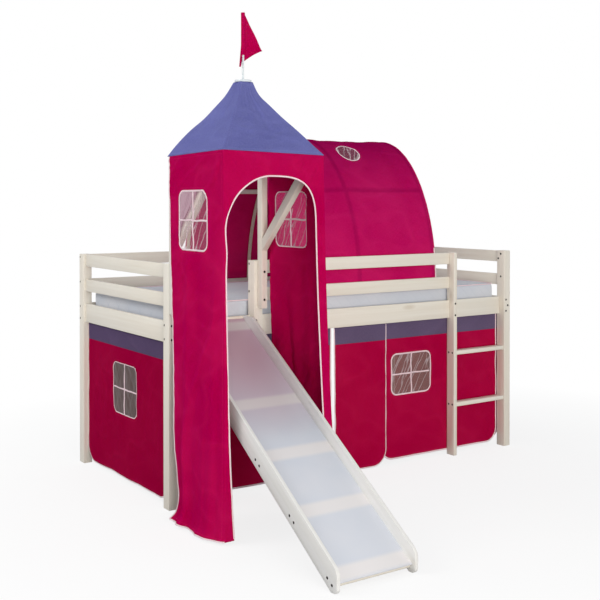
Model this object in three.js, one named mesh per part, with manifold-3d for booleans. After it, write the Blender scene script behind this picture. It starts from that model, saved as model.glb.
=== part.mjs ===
// A child's mid-height bed in painted pine, with a slide through a cloth tower, a cloth tunnel
// over the mattress and curtains round the den below. Millimetres, +Z up.
// Inside the model x runs along the bed from its left end, y from its front to its back and
// z up from the floor. The slide and the tower stand in front of the bed, at negative y.
import * as THREE from 'three';
import { mergeVertices } from 'three/addons/utils/BufferGeometryUtils.js';
import Module from 'manifold-3d';

const wasm = await Module();
wasm.setup();

// Bed frame
const bedLength = 2080;
const bedWidth = 1010;
const postHeight = 1070;
const postAcross = 45;
const postDeep = 55;
const railThick = 18;
const railInset = 11;
const guardHeight = 60;
const topGuardDrop = 2;
const guardSpacing = 127;
const wideRailHeight = 93;
const wideRailDrop = 253;
const seatGap = 0.3;
const cutOverrun = 5;
const roundSteps = 5;

// Bolts show as round sinkings, and small dowels as smaller ones
const boltSink = 9;
const dowelSink = 5;
const sinkDepth = 6;
const sinkSides = 8;
const wideBoltSpacing = 61;
const guardBoltLift = 16;

// Guard post beside the slide, and the ladder at the right
const guardPostLeft = 433;
const guardPostTail = 77;
const guardPostBoltDrop = 21;
const entryWidth = 348;
const ladderPostAcross = 22;
const rungThick = 22;
const rungDeep = 45;
const rungInset = 2;
const rungBoltInset = 12;
const upperRungDrop = 194;
const lowerRungDrop = 467;

// Slats and mattress
const cleatSize = 25;
const cleatDrop = 47;
const cleatEndGap = 15;
const slatCount = 14;
const slatWidth = 60;
const slatThick = 18;
const slatPlay = 5;
const slatEndRoom = 30;
const webbingWidth = 25;
const webbingThick = 2;
const webbingInset = 150;
const mattressEndPlay = 8.5;
const mattressRearPlay = 34.4;
const mattressThick = 102;
const mattressCrown = 7;
const mattressDrawIn = 9;
const mattressCorner = 21;
const cornerSpanShares = { along: 0.2, across: 0.3 };
const mattressPlay = 2;

// Slide, given by the top edge of its cheeks
const slideLeft = 47;
const slideAcross = 364;
const cheekThick = 15;
const cheekHeight = 88;
const slideEdgeRise = 25;
const slideToeHeight = 81.5;
const slideReach = 1160;
const toeTopRound = 50;
const toeFootRound = 20;
const chuteDrop = 48;
const chuteThick = 5;
const chuteToeGap = 14;
const slideBattenWide = 55;
const slideBattenThick = 20;
const slideScrewSpacing = 33;
const screwSink = 7;
const lowestBattenSetBack = 44;
const battenSpacing = 235;
const shownBattenSteps = [0, 1, 2, 3];
const topBattenReach = 8;

// Tower frame, and the cloth that hangs on it
const towerAcross = 480;
const towerDeep = 472;
const towerBar = 30;
const uprightDeep = 38;
const uprightLift = 36;
const towerRise = 460;
const braceWide = 38;
const braceDrop = 414;
const uprightBoltLow = 40;
const uprightBoltSpacing = 127;
const mastAcross = 22;
const mastSides = 12;
const discSides = 32;
const mastLean = 8;
const clothThick = 3;
const eaveLift = 4;
const towerHem = 12;
const wallRearGap = 12;
const rightWallRearGap = 42;
const towerFlare = 66;
const cornerFlare = 18;
const rightCornerFlare = 44;
const frontLean = 42;
const wallDrift = 150;
const wallBulge = 38;
const wallFold = 7;
const wallFoldCount = 4;
const flarePower = 1.6;
const foldPower = 1.2;
const bulgePower = 2.4;
const bulgeForwardPower = 1.8;
const stripFlarePower = 3;
const wallRowCount = 11;
const wallColumnCount = 12;
const archLeftMargin = 8;
const archRightMargin = 42;
const archFootMargin = 24;
const archSpringDrop = 308;
const archRise = 220;
const archLeftRound = 1.04;
const archRightRound = 0.6;
const archSteps = 14;
const archLegSteps = 9;
const towerWindowWide = 240;
const towerWindowTall = 244;
const towerWindowDrop = 390;
const towerWindowSetBack = 100;
const paneSink = 0.8;
const paneRim = 8;
const roofRise = 312;
const roofTopHalf = 29;
const roofFaceSag = 9;
const roofSlantThick = 3.6;
const discAcross = 72;
const discThick = 10;
const socketDeep = 7;
const poleAcross = 9;
const poleRise = 282;
const flagSleeveAcross = 18;
const flagSleeveLength = 205;
const flagReach = 93;
const flagWave = 4;

// Tunnel of cloth over hoops that stand inside the guard rails
const hoopWide = 20;
const hoopThick = 4;
const hoopLift = 88;
const hoopRise = 766;
const hoopSteps = 30;
const leftHoopFront = 610;
const leftHoopSkew = 0;
const middleHoopFront = 1085;
const middleHoopSkew = 81;
const rightHoopFront = 1576;
const rightHoopSkew = 0;
const tunnelOverhang = 3;
const tunnelBattenWide = 26;
const tunnelBattenThick = 6;
const tunnelBattenStep = 6;
const tunnelBattenLift = 12;
const skylightAcross = 130;
const skylightAlong = 1215;
const skylightStep = 10;
const skylightDeep = 1.2;
const skylightSides = 20;

// Curtains under the bed
const curtainHem = 24;
const curtainLap = 12;
const curtainFold = 6;
const foldPitch = 150;
const curtainCorner = 80;
const curtainRowCount = 6;
const curtainPostGap = 4;
const doorLeft = 930;
const doorWidth = 313;
const doorOverlap = 25;
const doorHem = 10;
const frontGapWidth = 22;
const curtainWindowDrop = 373;
const curtainWindowTall = 208;
const curtainWindowWide = 262;
const frontWindowLeft = 1289;
const endWindowSetBack = 385;
const endWindowDrop = 401;
const endWindowTall = 242;

// Finishes
const wood = new THREE.MeshStandardMaterial({ color: 0xe4ddcf, roughness: 0.55, metalness: 0 });
const chuteSheet = new THREE.MeshStandardMaterial({ color: 0xd2dae4, roughness: 0.3, metalness: 0 });
const bedding = new THREE.MeshStandardMaterial({ color: 0xc9d0e6, roughness: 0.9, metalness: 0 });
const pinkCloth = new THREE.MeshStandardMaterial({ color: 0xb0004c, roughness: 0.85, metalness: 0 });
const lilacCloth = new THREE.MeshStandardMaterial({ color: 0x6e70b0, roughness: 0.85, metalness: 0 });

// Heights and places that follow from the sizes above
const wideRailTop = postHeight - wideRailDrop;
const wideRailFoot = wideRailTop - wideRailHeight;
const topGuardFoot = postHeight - topGuardDrop - guardHeight;
const midGuardFoot = topGuardFoot - guardSpacing;
const frontRailFace = postDeep - railThick;
const rightPostLeft = bedLength - postAcross;
const backPostFace = bedWidth - postDeep;
const backRailFace = bedWidth - railThick;
const rightEndRailLeft = rightPostLeft + railInset;
const entryLeft = rightPostLeft - entryWidth;
const ladderPostLeft = entryLeft - ladderPostAcross;
const guardPostRight = guardPostLeft + postAcross;
const innerFront = postDeep + seatGap;
const innerBack = backRailFace - seatGap;
const upperRungHeight = wideRailFoot - upperRungDrop;
const lowerRungHeight = wideRailFoot - lowerRungDrop;
const cleatTop = wideRailTop - cleatDrop;
const mattressLength = rightEndRailLeft - railInset - railThick - 2 * mattressEndPlay;
const mattressWidth = innerBack - innerFront - mattressPlay - mattressRearPlay;
const slideEdgeHeight = wideRailTop + slideEdgeRise;
const lowestBattenReach = slideReach - lowestBattenSetBack;
const uprightFoot = wideRailTop + uprightLift;
const hoopFoot = wideRailTop + hoopLift;
const towerTop = postHeight + towerRise;
const braceFoot = towerTop - braceDrop;
const archSpring = towerTop - archSpringDrop;
const towerWindowFoot = towerTop - towerWindowDrop;
const curtainWindowFoot = wideRailFoot - curtainWindowDrop;
const endWindowFoot = wideRailFoot - endWindowDrop;

const bed = new THREE.Group();
const bedFrame = new THREE.Group();
const slide = new THREE.Group();
const tower = new THREE.Group();
const tunnel = new THREE.Group();
const curtains = new THREE.Group();
bed.add(bedFrame, slide, tower, tunnel, curtains);

// Adds one piece, under its own name, to a group.
function piece(group, name, geometry, material) {
  const mesh = new THREE.Mesh(geometry, material);
  mesh.name = name;
  group.add(mesh);
}

// A box between two corners.
function block(x0, x1, y0, y1, z0, z1) {
  const box = new THREE.BoxGeometry(x1 - x0, y1 - y0, z1 - z0);
  box.translate((x0 + x1) / 2, (y0 + y1) / 2, (z0 + z1) / 2);
  return box;
}

// A geometry as a solid that can be joined and cut.
function solidOf(geometry) {
  const bare = geometry.clone();
  bare.deleteAttribute('normal');
  bare.deleteAttribute('uv');
  const merged = mergeVertices(bare);
  return new wasm.Manifold(new wasm.Mesh({
    numProp: 3,
    vertProperties: new Float32Array(merged.attributes.position.array),
    triVerts: new Uint32Array(merged.index.array),
  }));
}

function geometryOf(solid) {
  const mesh = solid.getMesh();
  const geometry = new THREE.BufferGeometry();
  geometry.setAttribute('position', new THREE.BufferAttribute(mesh.vertProperties, 3));
  geometry.setIndex(new THREE.BufferAttribute(mesh.triVerts, 1));
  return geometry;
}

function cut(geometry, cutters) {
  let solid = solidOf(geometry);
  for (const cutter of cutters) {
    solid = solid.subtract(solidOf(cutter));
  }
  return geometryOf(solid);
}

function join(geometries) {
  let solid = solidOf(geometries[0]);
  for (const geometry of geometries.slice(1)) {
    solid = solid.add(solidOf(geometry));
  }
  return geometryOf(solid);
}

// A round sinking in a face: centred on the point, and along the axis into the wood.
function sinking(point, axis, across = boltSink) {
  const length = 2 * sinkDepth;
  const round = new THREE.CylinderGeometry(across / 2, across / 2, length, sinkSides);
  if (axis === 'x') round.rotateZ(Math.PI / 2);
  if (axis === 'z') round.rotateX(Math.PI / 2);
  round.translate(point[0], point[1], point[2]);
  return round;
}

// An outline drawn in the side view, y to the right and z up, made thick along x.
function sidePiece(outline, x0, x1) {
  const geometry = new THREE.ExtrudeGeometry(outline, {
    depth: x1 - x0, bevelEnabled: false, curveSegments: roundSteps,
  });
  const toSide = new THREE.Matrix4().makeBasis(
    new THREE.Vector3(0, 1, 0), new THREE.Vector3(0, 0, 1), new THREE.Vector3(1, 0, 0));
  geometry.applyMatrix4(toSide);
  geometry.translate(x0, 0, 0);
  return geometry;
}

function outlineOf(points) {
  return new THREE.Shape(points.map(([y, z]) => new THREE.Vector2(y, z)));
}

// A closed sheet between two grids of points with as many rows and columns.
function sheet(front, back) {
  const rows = front.length;
  const columns = front[0].length;
  const places = [...front.flat(), ...back.flat()];
  const at = (side, i, j) => side * rows * columns + i * columns + j;
  const faces = [];
  const quad = (a, b, c, d) => faces.push(a, b, c, a, c, d);
  for (let i = 0; i < rows - 1; i += 1) {
    for (let j = 0; j < columns - 1; j += 1) {
      quad(at(0, i, j), at(0, i, j + 1), at(0, i + 1, j + 1), at(0, i + 1, j));
      quad(at(1, i, j), at(1, i + 1, j), at(1, i + 1, j + 1), at(1, i, j + 1));
    }
  }
  for (let j = 0; j < columns - 1; j += 1) {
    quad(at(0, 0, j), at(1, 0, j), at(1, 0, j + 1), at(0, 0, j + 1));
    quad(at(0, rows - 1, j), at(0, rows - 1, j + 1), at(1, rows - 1, j + 1), at(1, rows - 1, j));
  }
  for (let i = 0; i < rows - 1; i += 1) {
    quad(at(0, i, 0), at(0, i + 1, 0), at(1, i + 1, 0), at(1, i, 0));
    quad(at(0, i, columns - 1), at(1, i, columns - 1), at(1, i + 1, columns - 1), at(0, i + 1, columns - 1));
  }
  return outward(places, faces);
}

// A closed ring of cloth: loops of points, each joined to the next and the last to the first.
function ringSheet(loops) {
  const count = loops[0].length;
  const faces = [];
  for (let i = 0; i < loops.length; i += 1) {
    const next = (i + 1) % loops.length;
    for (let j = 0; j < count; j += 1) {
      const k = (j + 1) % count;
      faces.push(i * count + j, i * count + k, next * count + k);
      faces.push(i * count + j, next * count + k, next * count + j);
    }
  }
  return outward(loops.flat(), faces);
}

// A geometry from places and faces, with every face turned outward.
function outward(places, faces) {
  let volume = 0;
  for (let i = 0; i < faces.length; i += 3) {
    const [a, b, c] = [places[faces[i]], places[faces[i + 1]], places[faces[i + 2]]];
    volume += a.dot(new THREE.Vector3().crossVectors(b, c));
  }
  if (volume < 0) faces.reverse();
  const geometry = new THREE.BufferGeometry().setFromPoints(places);
  geometry.setIndex(faces);
  return geometry;
}

function mix(a, b, share) {
  return a + (b - a) * share;
}

// Evenly spaced shares from 0 to 1.
function evenShares(steps) {
  return Array.from({ length: steps + 1 }, (_, i) => i / steps);
}

// Lines of a grid from one place to another, about a pitch apart, with the given lines kept.
function gridLines(from, to, pitch, kept = []) {
  const stops = [from, ...kept.filter((line) => line > from && line < to), to].sort((a, b) => a - b);
  const lines = [from];
  for (let i = 1; i < stops.length; i += 1) {
    const steps = Math.max(1, Math.round((stops[i] - stops[i - 1]) / pitch));
    for (let k = 1; k <= steps; k += 1) {
      lines.push(mix(stops[i - 1], stops[i], k / steps));
    }
  }
  return lines;
}

// Corner posts. Every post is drilled alike: bolts into the side rails through its end face,
// and bolts into the end rails through its front or back face.
function postBolts(x, xFace, y, yFace, railX, guardsBeside) {
  const wideCentre = wideRailFoot + wideRailHeight / 2;
  const wideBolts = [wideCentre - wideBoltSpacing / 2, wideCentre + wideBoltSpacing / 2];
  const guardBolts = [topGuardFoot, midGuardFoot].map((foot) => foot + guardHeight / 2 + guardBoltLift);
  const railY = y + postDeep - railThick / 2;
  const besideHeights = guardsBeside ? [...wideBolts, ...guardBolts] : wideBolts;
  const beside = besideHeights.map((z) => sinking([xFace, railY, z], 'x'));
  const ends = [...wideBolts, ...guardBolts].map((z) => sinking([railX, yFace, z], 'y'));
  ends.push(sinking([railX, yFace, wideCentre], 'y', dowelSink));
  return [...beside, ...ends];
}

const postPlaces = [
  ['front_left_post', 0, 0, 0, 0, false],
  ['front_right_post', rightPostLeft, bedLength, 0, 0, false],
  ['rear_left_post', 0, 0, backPostFace, bedWidth, true],
  ['rear_right_post', rightPostLeft, bedLength, backPostFace, bedWidth, true],
];
for (const [name, x, xFace, y, yFace, guardsBeside] of postPlaces) {
  const body = block(x, x + postAcross, y, y + postDeep, 0, postHeight);
  const railX = x + railInset + railThick / 2;
  piece(bedFrame, name, cut(body, postBolts(x, xFace, y, yFace, railX, guardsBeside)), wood);
}

// Rails: wide ones that carry the bed base, and two guard rails above them.
const sideStart = postAcross + seatGap;
const sideEnd = rightPostLeft - seatGap;
const endStart = postDeep + seatGap;
const endEnd = backPostFace - seatGap;

function rail(name, x0, x1, y0, y1, foot, height) {
  piece(bedFrame, name, block(x0, x1, y0, y1, foot, foot + height), wood);
}

rail('front_side_rail', sideStart, sideEnd, frontRailFace, postDeep, wideRailFoot, wideRailHeight);
rail('rear_side_rail', sideStart, sideEnd, backRailFace, bedWidth, wideRailFoot, wideRailHeight);
for (const [side, x] of [['left', railInset], ['right', rightEndRailLeft]]) {
  rail(`${side}_end_rail`, x, x + railThick, endStart, endEnd, wideRailFoot, wideRailHeight);
  rail(`${side}_end_mid_guard`, x, x + railThick, endStart, endEnd, midGuardFoot, guardHeight);
  rail(`${side}_end_top_guard`, x, x + railThick, endStart, endEnd, topGuardFoot, guardHeight);
}
for (const [level, foot] of [['mid', midGuardFoot], ['top', topGuardFoot]]) {
  rail(`front_${level}_guard`, guardPostRight + seatGap, ladderPostLeft - seatGap,
    frontRailFace, postDeep, foot, guardHeight);
  rail(`rear_${level}_guard`, sideStart, sideEnd, backRailFace, bedWidth, foot, guardHeight);
}

// Guard post beside the slide: it is bolted to the wide rail by a tongue in front of it.
{
  const tongueFace = frontRailFace - seatGap;
  const overRail = wideRailTop + seatGap;
  const outline = outlineOf([
    [0, wideRailTop - guardPostTail],
    [tongueFace, wideRailTop - guardPostTail],
    [tongueFace, overRail],
    [postDeep, overRail],
    [postDeep, postHeight],
    [0, postHeight],
  ]);
  const railMiddle = frontRailFace + railThick / 2;
  const holes = [topGuardFoot, midGuardFoot].map((foot) => (
    sinking([guardPostLeft, railMiddle, foot + guardHeight / 2 + guardBoltLift], 'x')));
  holes.push(sinking([guardPostLeft + postAcross / 4, 0, wideRailTop - guardPostBoltDrop], 'y'));
  piece(bedFrame, 'guard_post', cut(sidePiece(outline, guardPostLeft, guardPostRight), holes), wood);
}

// Ladder: a thin post let in round the wide rail, and two rungs to the right corner post.
{
  const housing = frontRailFace - seatGap;
  const below = wideRailFoot - seatGap;
  const above = wideRailTop + seatGap;
  const outline = outlineOf([
    [0, 0], [postDeep, 0], [postDeep, below], [housing, below],
    [housing, above], [postDeep, above], [postDeep, postHeight], [0, postHeight],
  ]);
  const holes = [];
  const wideCentre = wideRailFoot + wideRailHeight / 2;
  for (const z of [wideCentre - wideBoltSpacing / 2, wideCentre + wideBoltSpacing / 2]) {
    holes.push(sinking([ladderPostLeft + ladderPostAcross / 2, 0, z], 'y'));
  }
  for (const foot of [upperRungHeight, lowerRungHeight]) {
    for (const y of [rungInset + rungBoltInset, rungInset + rungDeep - rungBoltInset / 2]) {
      holes.push(sinking([ladderPostLeft, y, foot + rungThick / 2], 'x'));
    }
  }
  const post = sidePiece(outline, ladderPostLeft, ladderPostLeft + ladderPostAcross);
  piece(bedFrame, 'ladder_post', cut(post, holes), wood);
  for (const [name, foot] of [['upper_rung', upperRungHeight], ['lower_rung', lowerRungHeight]]) {
    piece(bedFrame, name, block(entryLeft + seatGap, sideEnd, rungInset, rungInset + rungDeep,
      foot, foot + rungThick), wood);
  }
}

// Bed base: a cleat on each side rail, and slats tied by two webbing bands.
{
  const cleatStart = postAcross + cleatEndGap;
  const cleatEnd = rightPostLeft - cleatEndGap;
  piece(bedFrame, 'front_cleat', block(cleatStart, cleatEnd, innerFront, innerFront + cleatSize,
    cleatTop - cleatSize, cleatTop), wood);
  piece(bedFrame, 'rear_cleat', block(cleatStart, cleatEnd, innerBack - cleatSize, innerBack,
    cleatTop - cleatSize, cleatTop), wood);
  const slatFoot = cleatTop + seatGap;
  const slatTop = slatFoot + slatThick;
  const firstSlat = cleatStart + slatEndRoom;
  const lastSlat = cleatEnd - slatEndRoom - slatWidth;
  const parts = evenShares(slatCount - 1).map((share) => {
    const x = mix(firstSlat, lastSlat, share);
    return block(x, x + slatWidth, innerFront + slatPlay, innerBack - slatPlay, slatFoot, slatTop);
  });
  for (const y of [innerFront + webbingInset, innerBack - webbingInset - webbingWidth]) {
    parts.push(block(firstSlat, lastSlat + slatWidth, y, y + webbingWidth,
      slatTop - webbingThick / 4, slatTop + webbingThick));
  }
  piece(bedFrame, 'slat_base', join(parts), wood);
}

// Mattress: a crowned top, sides drawn in between the edges, and round corners.
{
  const foot = cleatTop + 2 * seatGap + slatThick + webbingThick;
  const box = new THREE.BoxGeometry(2, 2, 2, 14, 8, 4);
  const place = box.attributes.position;
  const middleX = (railInset + railThick + rightEndRailLeft) / 2;
  const middleY = innerFront + mattressPlay + mattressWidth / 2;
  const halfLength = mattressLength / 2;
  const halfWidth = mattressWidth / 2;
  const cornerNearness = (place, span) => {
    const near = Math.max(0, Math.abs(place) - (1 - span)) / span;
    return near * Math.abs(place);
  };
  for (let i = 0; i < place.count; i += 1) {
    const [u, v, w] = [place.getX(i), place.getY(i), place.getZ(i)];
    const draw = mattressDrawIn * (1 - w * w);
    const crown = mattressCrown * (1 - u * u) * (1 - v * v) * (w + 1) / 2;
    const roundX = mattressCorner * cornerNearness(v, cornerSpanShares.across);
    const roundY = mattressCorner * cornerNearness(u, cornerSpanShares.along);
    const x = u * (halfLength - draw - roundX);
    const y = v * (halfWidth - draw - roundY);
    place.setXYZ(i, middleX + x, middleY + y, foot + (w + 1) / 2 * mattressThick + crown);
  }
  piece(bedFrame, 'mattress', box, bedding);
}

// Slide: two cheeks, the sheet that one slides on and the battens that carry it.
{
  const slope = (slideEdgeHeight - slideToeHeight) / slideReach;
  const fall = Math.atan(slope);
  const dropOf = (depth) => depth / Math.cos(fall);
  const edge = (y) => slideEdgeHeight + slope * y;
  const under = (y, depth) => edge(y) - dropOf(depth);
  const slideRight = slideLeft + slideAcross;
  const railGap = frontRailFace - seatGap;
  const toe = -slideReach;
  const flatTop = (wideRailTop - slideEdgeHeight) / slope;
  const footStart = (dropOf(cheekHeight) - slideEdgeHeight) / slope;

  const cheekOutline = new THREE.Shape();
  cheekOutline.moveTo(railGap, under(railGap, cheekHeight));
  cheekOutline.lineTo(railGap, wideRailTop);
  cheekOutline.lineTo(flatTop, wideRailTop);
  const roundStart = toe + toeTopRound;
  cheekOutline.lineTo(roundStart, edge(roundStart));
  cheekOutline.quadraticCurveTo(toe, edge(toe), toe, edge(toe) - toeTopRound / 2);
  cheekOutline.lineTo(toe, toeFootRound);
  cheekOutline.quadraticCurveTo(toe, 0, toe + toeFootRound, 0);
  cheekOutline.lineTo(footStart, 0);

  const reaches = shownBattenSteps.map((step) => lowestBattenReach - step * battenSpacing);
  reaches.push(topBattenReach);
  const screwDepth = chuteDrop + chuteThick + slideBattenThick / 2;
  const screwHoles = (x) => reaches.flatMap((reach) => [-1, 1].map((side) => {
    const y = -reach + side * slideScrewSpacing / 2 * Math.cos(fall);
    return sinking([x, y, under(y, screwDepth)], 'x', screwSink);
  }));
  piece(slide, 'slide_left_cheek',
    cut(sidePiece(cheekOutline, slideLeft, slideLeft + cheekThick), screwHoles(slideLeft)), wood);
  piece(slide, 'slide_right_cheek',
    cut(sidePiece(cheekOutline, slideRight - cheekThick, slideRight), screwHoles(slideRight)), wood);

  const innerLeft = slideLeft + cheekThick + seatGap;
  const innerRight = slideRight - cheekThick - seatGap;
  const toeEnd = toe + chuteToeGap;
  const chuteOutline = outlineOf([
    [railGap, under(railGap, chuteDrop)],
    [toeEnd, under(toeEnd, chuteDrop)],
    [toeEnd, under(toeEnd, chuteDrop + chuteThick)],
    [railGap, under(railGap, chuteDrop + chuteThick)],
  ]);
  piece(slide, 'slide_sheet', sidePiece(chuteOutline, innerLeft, innerRight), chuteSheet);

  const along = new THREE.Vector2(Math.cos(fall), Math.sin(fall));
  const down = new THREE.Vector2(Math.sin(fall), -Math.cos(fall));
  reaches.forEach((reach, i) => {
    const topMiddle = new THREE.Vector2(-reach, under(-reach, chuteDrop + chuteThick))
      .addScaledVector(down, seatGap);
    const corner = (side, depth) => topMiddle.clone()
      .addScaledVector(along, side * slideBattenWide / 2)
      .addScaledVector(down, depth);
    const battenOutline = new THREE.Shape([
      corner(-1, 0), corner(1, 0), corner(1, slideBattenThick), corner(-1, slideBattenThick)]);
    piece(slide, `slide_batten_${i + 1}`, sidePiece(battenOutline, innerLeft, innerRight), wood);
  });
}

// Tower frame: two uprights on the bed's posts, arms held out by braces, bars across,
// and a mast that carries the disc at the top of the roof.
const armFoot = towerTop - towerBar;
const eave = towerTop + eaveLift;
const towerMiddle = new THREE.Vector2(towerAcross / 2, -towerDeep / 2);
const mastPlace = new THREE.Vector2(towerMiddle.x - mastLean, towerMiddle.y);
{
  const sides = [['left', 0], ['right', towerAcross - towerBar]];
  const faceY = -uprightDeep;
  const under = armFoot - seatGap;
  const frontY = faceY - seatGap;
  const rise = braceWide * Math.SQRT2;
  const reach = under - braceFoot;
  const braceOutline = outlineOf([
    [frontY, braceFoot],
    [frontY, braceFoot + rise],
    [frontY - (reach - rise), under],
    [frontY - reach, under],
  ]);
  for (const [side, x] of sides) {
    const upright = block(x, x + towerBar, faceY, -seatGap, uprightFoot, under);
    const bolts = [0, 1].map((step) => (
      sinking([x + towerBar / 2, faceY, uprightFoot + uprightBoltLow + step * uprightBoltSpacing], 'y')));
    piece(tower, `tower_${side}_upright`, cut(upright, bolts), wood);
    piece(tower, `tower_${side}_arm`, block(x, x + towerBar, -towerDeep, -seatGap, armFoot, towerTop), wood);
    piece(tower, `tower_${side}_brace`, sidePiece(braceOutline, x, x + towerBar), wood);
  }
  const barStart = towerBar + seatGap;
  const barEnd = towerAcross - towerBar - seatGap;
  const frontBarBack = -towerDeep + towerBar;
  const rearBarFront = -seatGap - towerBar;
  piece(tower, 'tower_front_bar', block(barStart, barEnd, -towerDeep, frontBarBack, armFoot, towerTop), wood);
  piece(tower, 'tower_rear_bar', block(barStart, barEnd, rearBarFront, -seatGap, armFoot, towerTop), wood);
  piece(tower, 'tower_cross_bar', block(mastPlace.x - towerBar / 2, mastPlace.x + towerBar / 2,
    frontBarBack + seatGap, rearBarFront - seatGap, armFoot, towerTop), wood);
}

const discFoot = eave + roofRise;
const poleTop = discFoot + discThick + poleRise;
{
  const mastFoot = towerTop + seatGap;
  const mastTop = discFoot - seatGap;
  const mast = new THREE.CylinderGeometry(mastAcross / 2, mastAcross / 2, mastTop - mastFoot, mastSides);
  mast.rotateX(Math.PI / 2);
  mast.translate(mastPlace.x, mastPlace.y, (mastFoot + mastTop) / 2);
  piece(tower, 'tower_mast', mast, wood);

  const discTop = discFoot + discThick;
  const socketFoot = discTop - socketDeep;
  const radius = discAcross / 2;
  const round = discThick / 5;
  const bore = poleAcross / 2 + seatGap;
  const disc = new THREE.LatheGeometry([
    [0, 0], [radius - round, 0], [radius, round], [radius, discThick - round],
    [radius - round, discThick], [bore, discThick],
    [bore, discThick - socketDeep], [0, discThick - socketDeep],
  ].map(([r, h]) => new THREE.Vector2(r, h)), discSides);
  disc.rotateX(Math.PI / 2);
  disc.translate(mastPlace.x, mastPlace.y, discFoot);
  piece(tower, 'roof_disc', geometryOf(solidOf(disc)), wood);

  const poleFoot = socketFoot + seatGap;
  const pole = new THREE.CylinderGeometry(poleAcross / 2, poleAcross / 2, poleTop - poleFoot, mastSides);
  pole.rotateX(Math.PI / 2);
  pole.translate(mastPlace.x, mastPlace.y, (poleFoot + poleTop) / 2);
  piece(tower, 'flag_pole', pole, wood);
}

// Flag: a pennant on a sleeve that is closed above the pole's tip, so that it turns on it.
{
  const bore = poleAcross / 2 + seatGap;
  const radius = flagSleeveAcross / 2;
  const top = poleTop + seatGap + clothThick;
  const foot = top - flagSleeveLength;
  const sleeve = new THREE.LatheGeometry([
    [bore, 0], [radius, 0], [radius, top - foot], [0, top - foot], [0, poleTop + seatGap - foot],
    [bore, poleTop + seatGap - foot], [bore, 0],
  ].map(([r, h]) => new THREE.Vector2(r, h)), mastSides);
  sleeve.rotateX(Math.PI / 2);
  sleeve.translate(mastPlace.x, mastPlace.y, foot);

  const flyShares = [0, 0.15, 0.35, 0.55, 0.75, 0.92, 1];
  const upperEdgeShares = [0.985, 0.88, 0.72, 0.57, 0.42, 0.3, 0.255];
  const lowerEdgeShares = [0.02, 0.045, 0.1, 0.155, 0.2, 0.235, 0.245];
  const start = bore + (radius - bore) / 2;
  const gridAt = (offset) => flyShares.map((fly, i) => evenShares(2).map((share) => {
    const x = mix(start, flagReach, fly);
    const y = flagWave * Math.sin(fly * Math.PI * 2) * fly + offset;
    const z = mix(foot, top, mix(lowerEdgeShares[i], upperEdgeShares[i], share));
    return new THREE.Vector3(mastPlace.x + x, mastPlace.y + y, z);
  }));
  const pennant = sheet(gridAt(clothThick / 2), gridAt(-clothThick / 2));
  piece(tower, 'flag', join([sleeve, pennant]), pinkCloth);
}

// Tower cloth. Heights are shares of the wall, 0 at the hem and 1 at the eave.
const clothGap = seatGap + clothThick / 2;
const wallTop = eave - seatGap;
const wallHeight = wallTop - towerHem;
const heightOf = (share) => towerHem + wallHeight * share;
const fullness = (share, power = flarePower) => Math.pow(1 - share, power);

// How far a wall's rear edge has swung out and forward, by height.
const rearSwingShares = [
  [0, 0.94, 0.77], [0.02, 0.6, 0.9], [0.06, 0.42, 0.94], [0.1, 0.4, 0.9], [0.21, 0.32, 0.63],
  [0.32, 0.25, 0.53], [0.48, 0.1, 0.3], [0.7, 0.02, 0.08], [1, 0, 0],
];
function swingAt(share) {
  const next = rearSwingShares.findIndex((row) => row[0] >= share);
  if (next <= 0) return rearSwingShares[0].slice(1);
  const [a, b] = [rearSwingShares[next - 1], rearSwingShares[next]];
  const between = (share - a[0]) / (b[0] - a[0]);
  return [mix(a[1], b[1], between), mix(a[2], b[2], between)];
}

const frontY = (share) => -towerDeep - clothGap - frontLean * (1 - share);
const leftCornerX = (share) => -clothGap - cornerFlare * fullness(share);
const rightCornerX = (share) => towerAcross + clothGap + rightCornerFlare * fullness(share);
const towerWindowHead = towerWindowFoot + towerWindowTall;
const windowShares = [towerWindowFoot, towerWindowHead].map((z) => (z - towerHem) / wallHeight);
const rimShare = paneRim / wallHeight;
const hemShares = [0.02, 0.06];
const wallRows = gridLines(0, 1, 1 / wallRowCount, [
  ...hemShares, windowShares[0], windowShares[0] + rimShare, windowShares[1] - rimShare, windowShares[1]]);

// One side wall; side is -1 at the left and 1 at the right.
function sideWall(side, rearGap, swingSize) {
  const cornerX = side < 0 ? leftCornerX : rightCornerX;
  const frontEdge = (share) => frontY(share) + clothThick / 2 + seatGap;
  const windowStart = (towerWindowSetBack - rearGap) / (towerDeep - rearGap);
  const windowEnd = windowStart + towerWindowWide / (towerDeep - rearGap);
  const rim = paneRim / (towerDeep - rearGap);
  const windowLines = [windowStart, windowStart + rim, windowEnd - rim, windowEnd];
  const columns = gridLines(0, 1, 1 / wallColumnCount, windowLines);
  const inside = (value, from, to) => value > from + 1e-6 && value < to - 1e-6;
  const gridAt = (offset) => wallRows.map((share) => columns.map((along) => {
    const [out, forward] = swingAt(share);
    const rearX = side * (swingSize * out + clothGap) + (side > 0 ? towerAcross : 0);
    const rearY = -rearGap - wallDrift * forward * swingSize / towerFlare;
    const bulgePlace = Math.sin(Math.PI * Math.pow(along, bulgeForwardPower));
    const bulge = wallBulge * fullness(share, bulgePower) * bulgePlace;
    const wave = (1 - Math.cos(2 * Math.PI * wallFoldCount * along)) / 2;
    const folds = wallFold * fullness(share, foldPower) * wave;
    const x = mix(rearX, cornerX(share), along) + side * (bulge + folds);
    const y = mix(rearY, frontEdge(share), along);
    const pane = inside(share, windowShares[0], windowShares[1]) && inside(along, windowStart, windowEnd);
    const half = clothThick / 2 - (pane ? paneSink : 0);
    return new THREE.Vector3(x + offset * half, y, heightOf(share));
  }));
  return sheet(gridAt(1), gridAt(-1));
}
piece(tower, 'tower_left_wall', sideWall(-1, wallRearGap, towerFlare), pinkCloth);
piece(tower, 'tower_right_wall', sideWall(1, rightWallRearGap, towerFlare / 2), pinkCloth);

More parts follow.
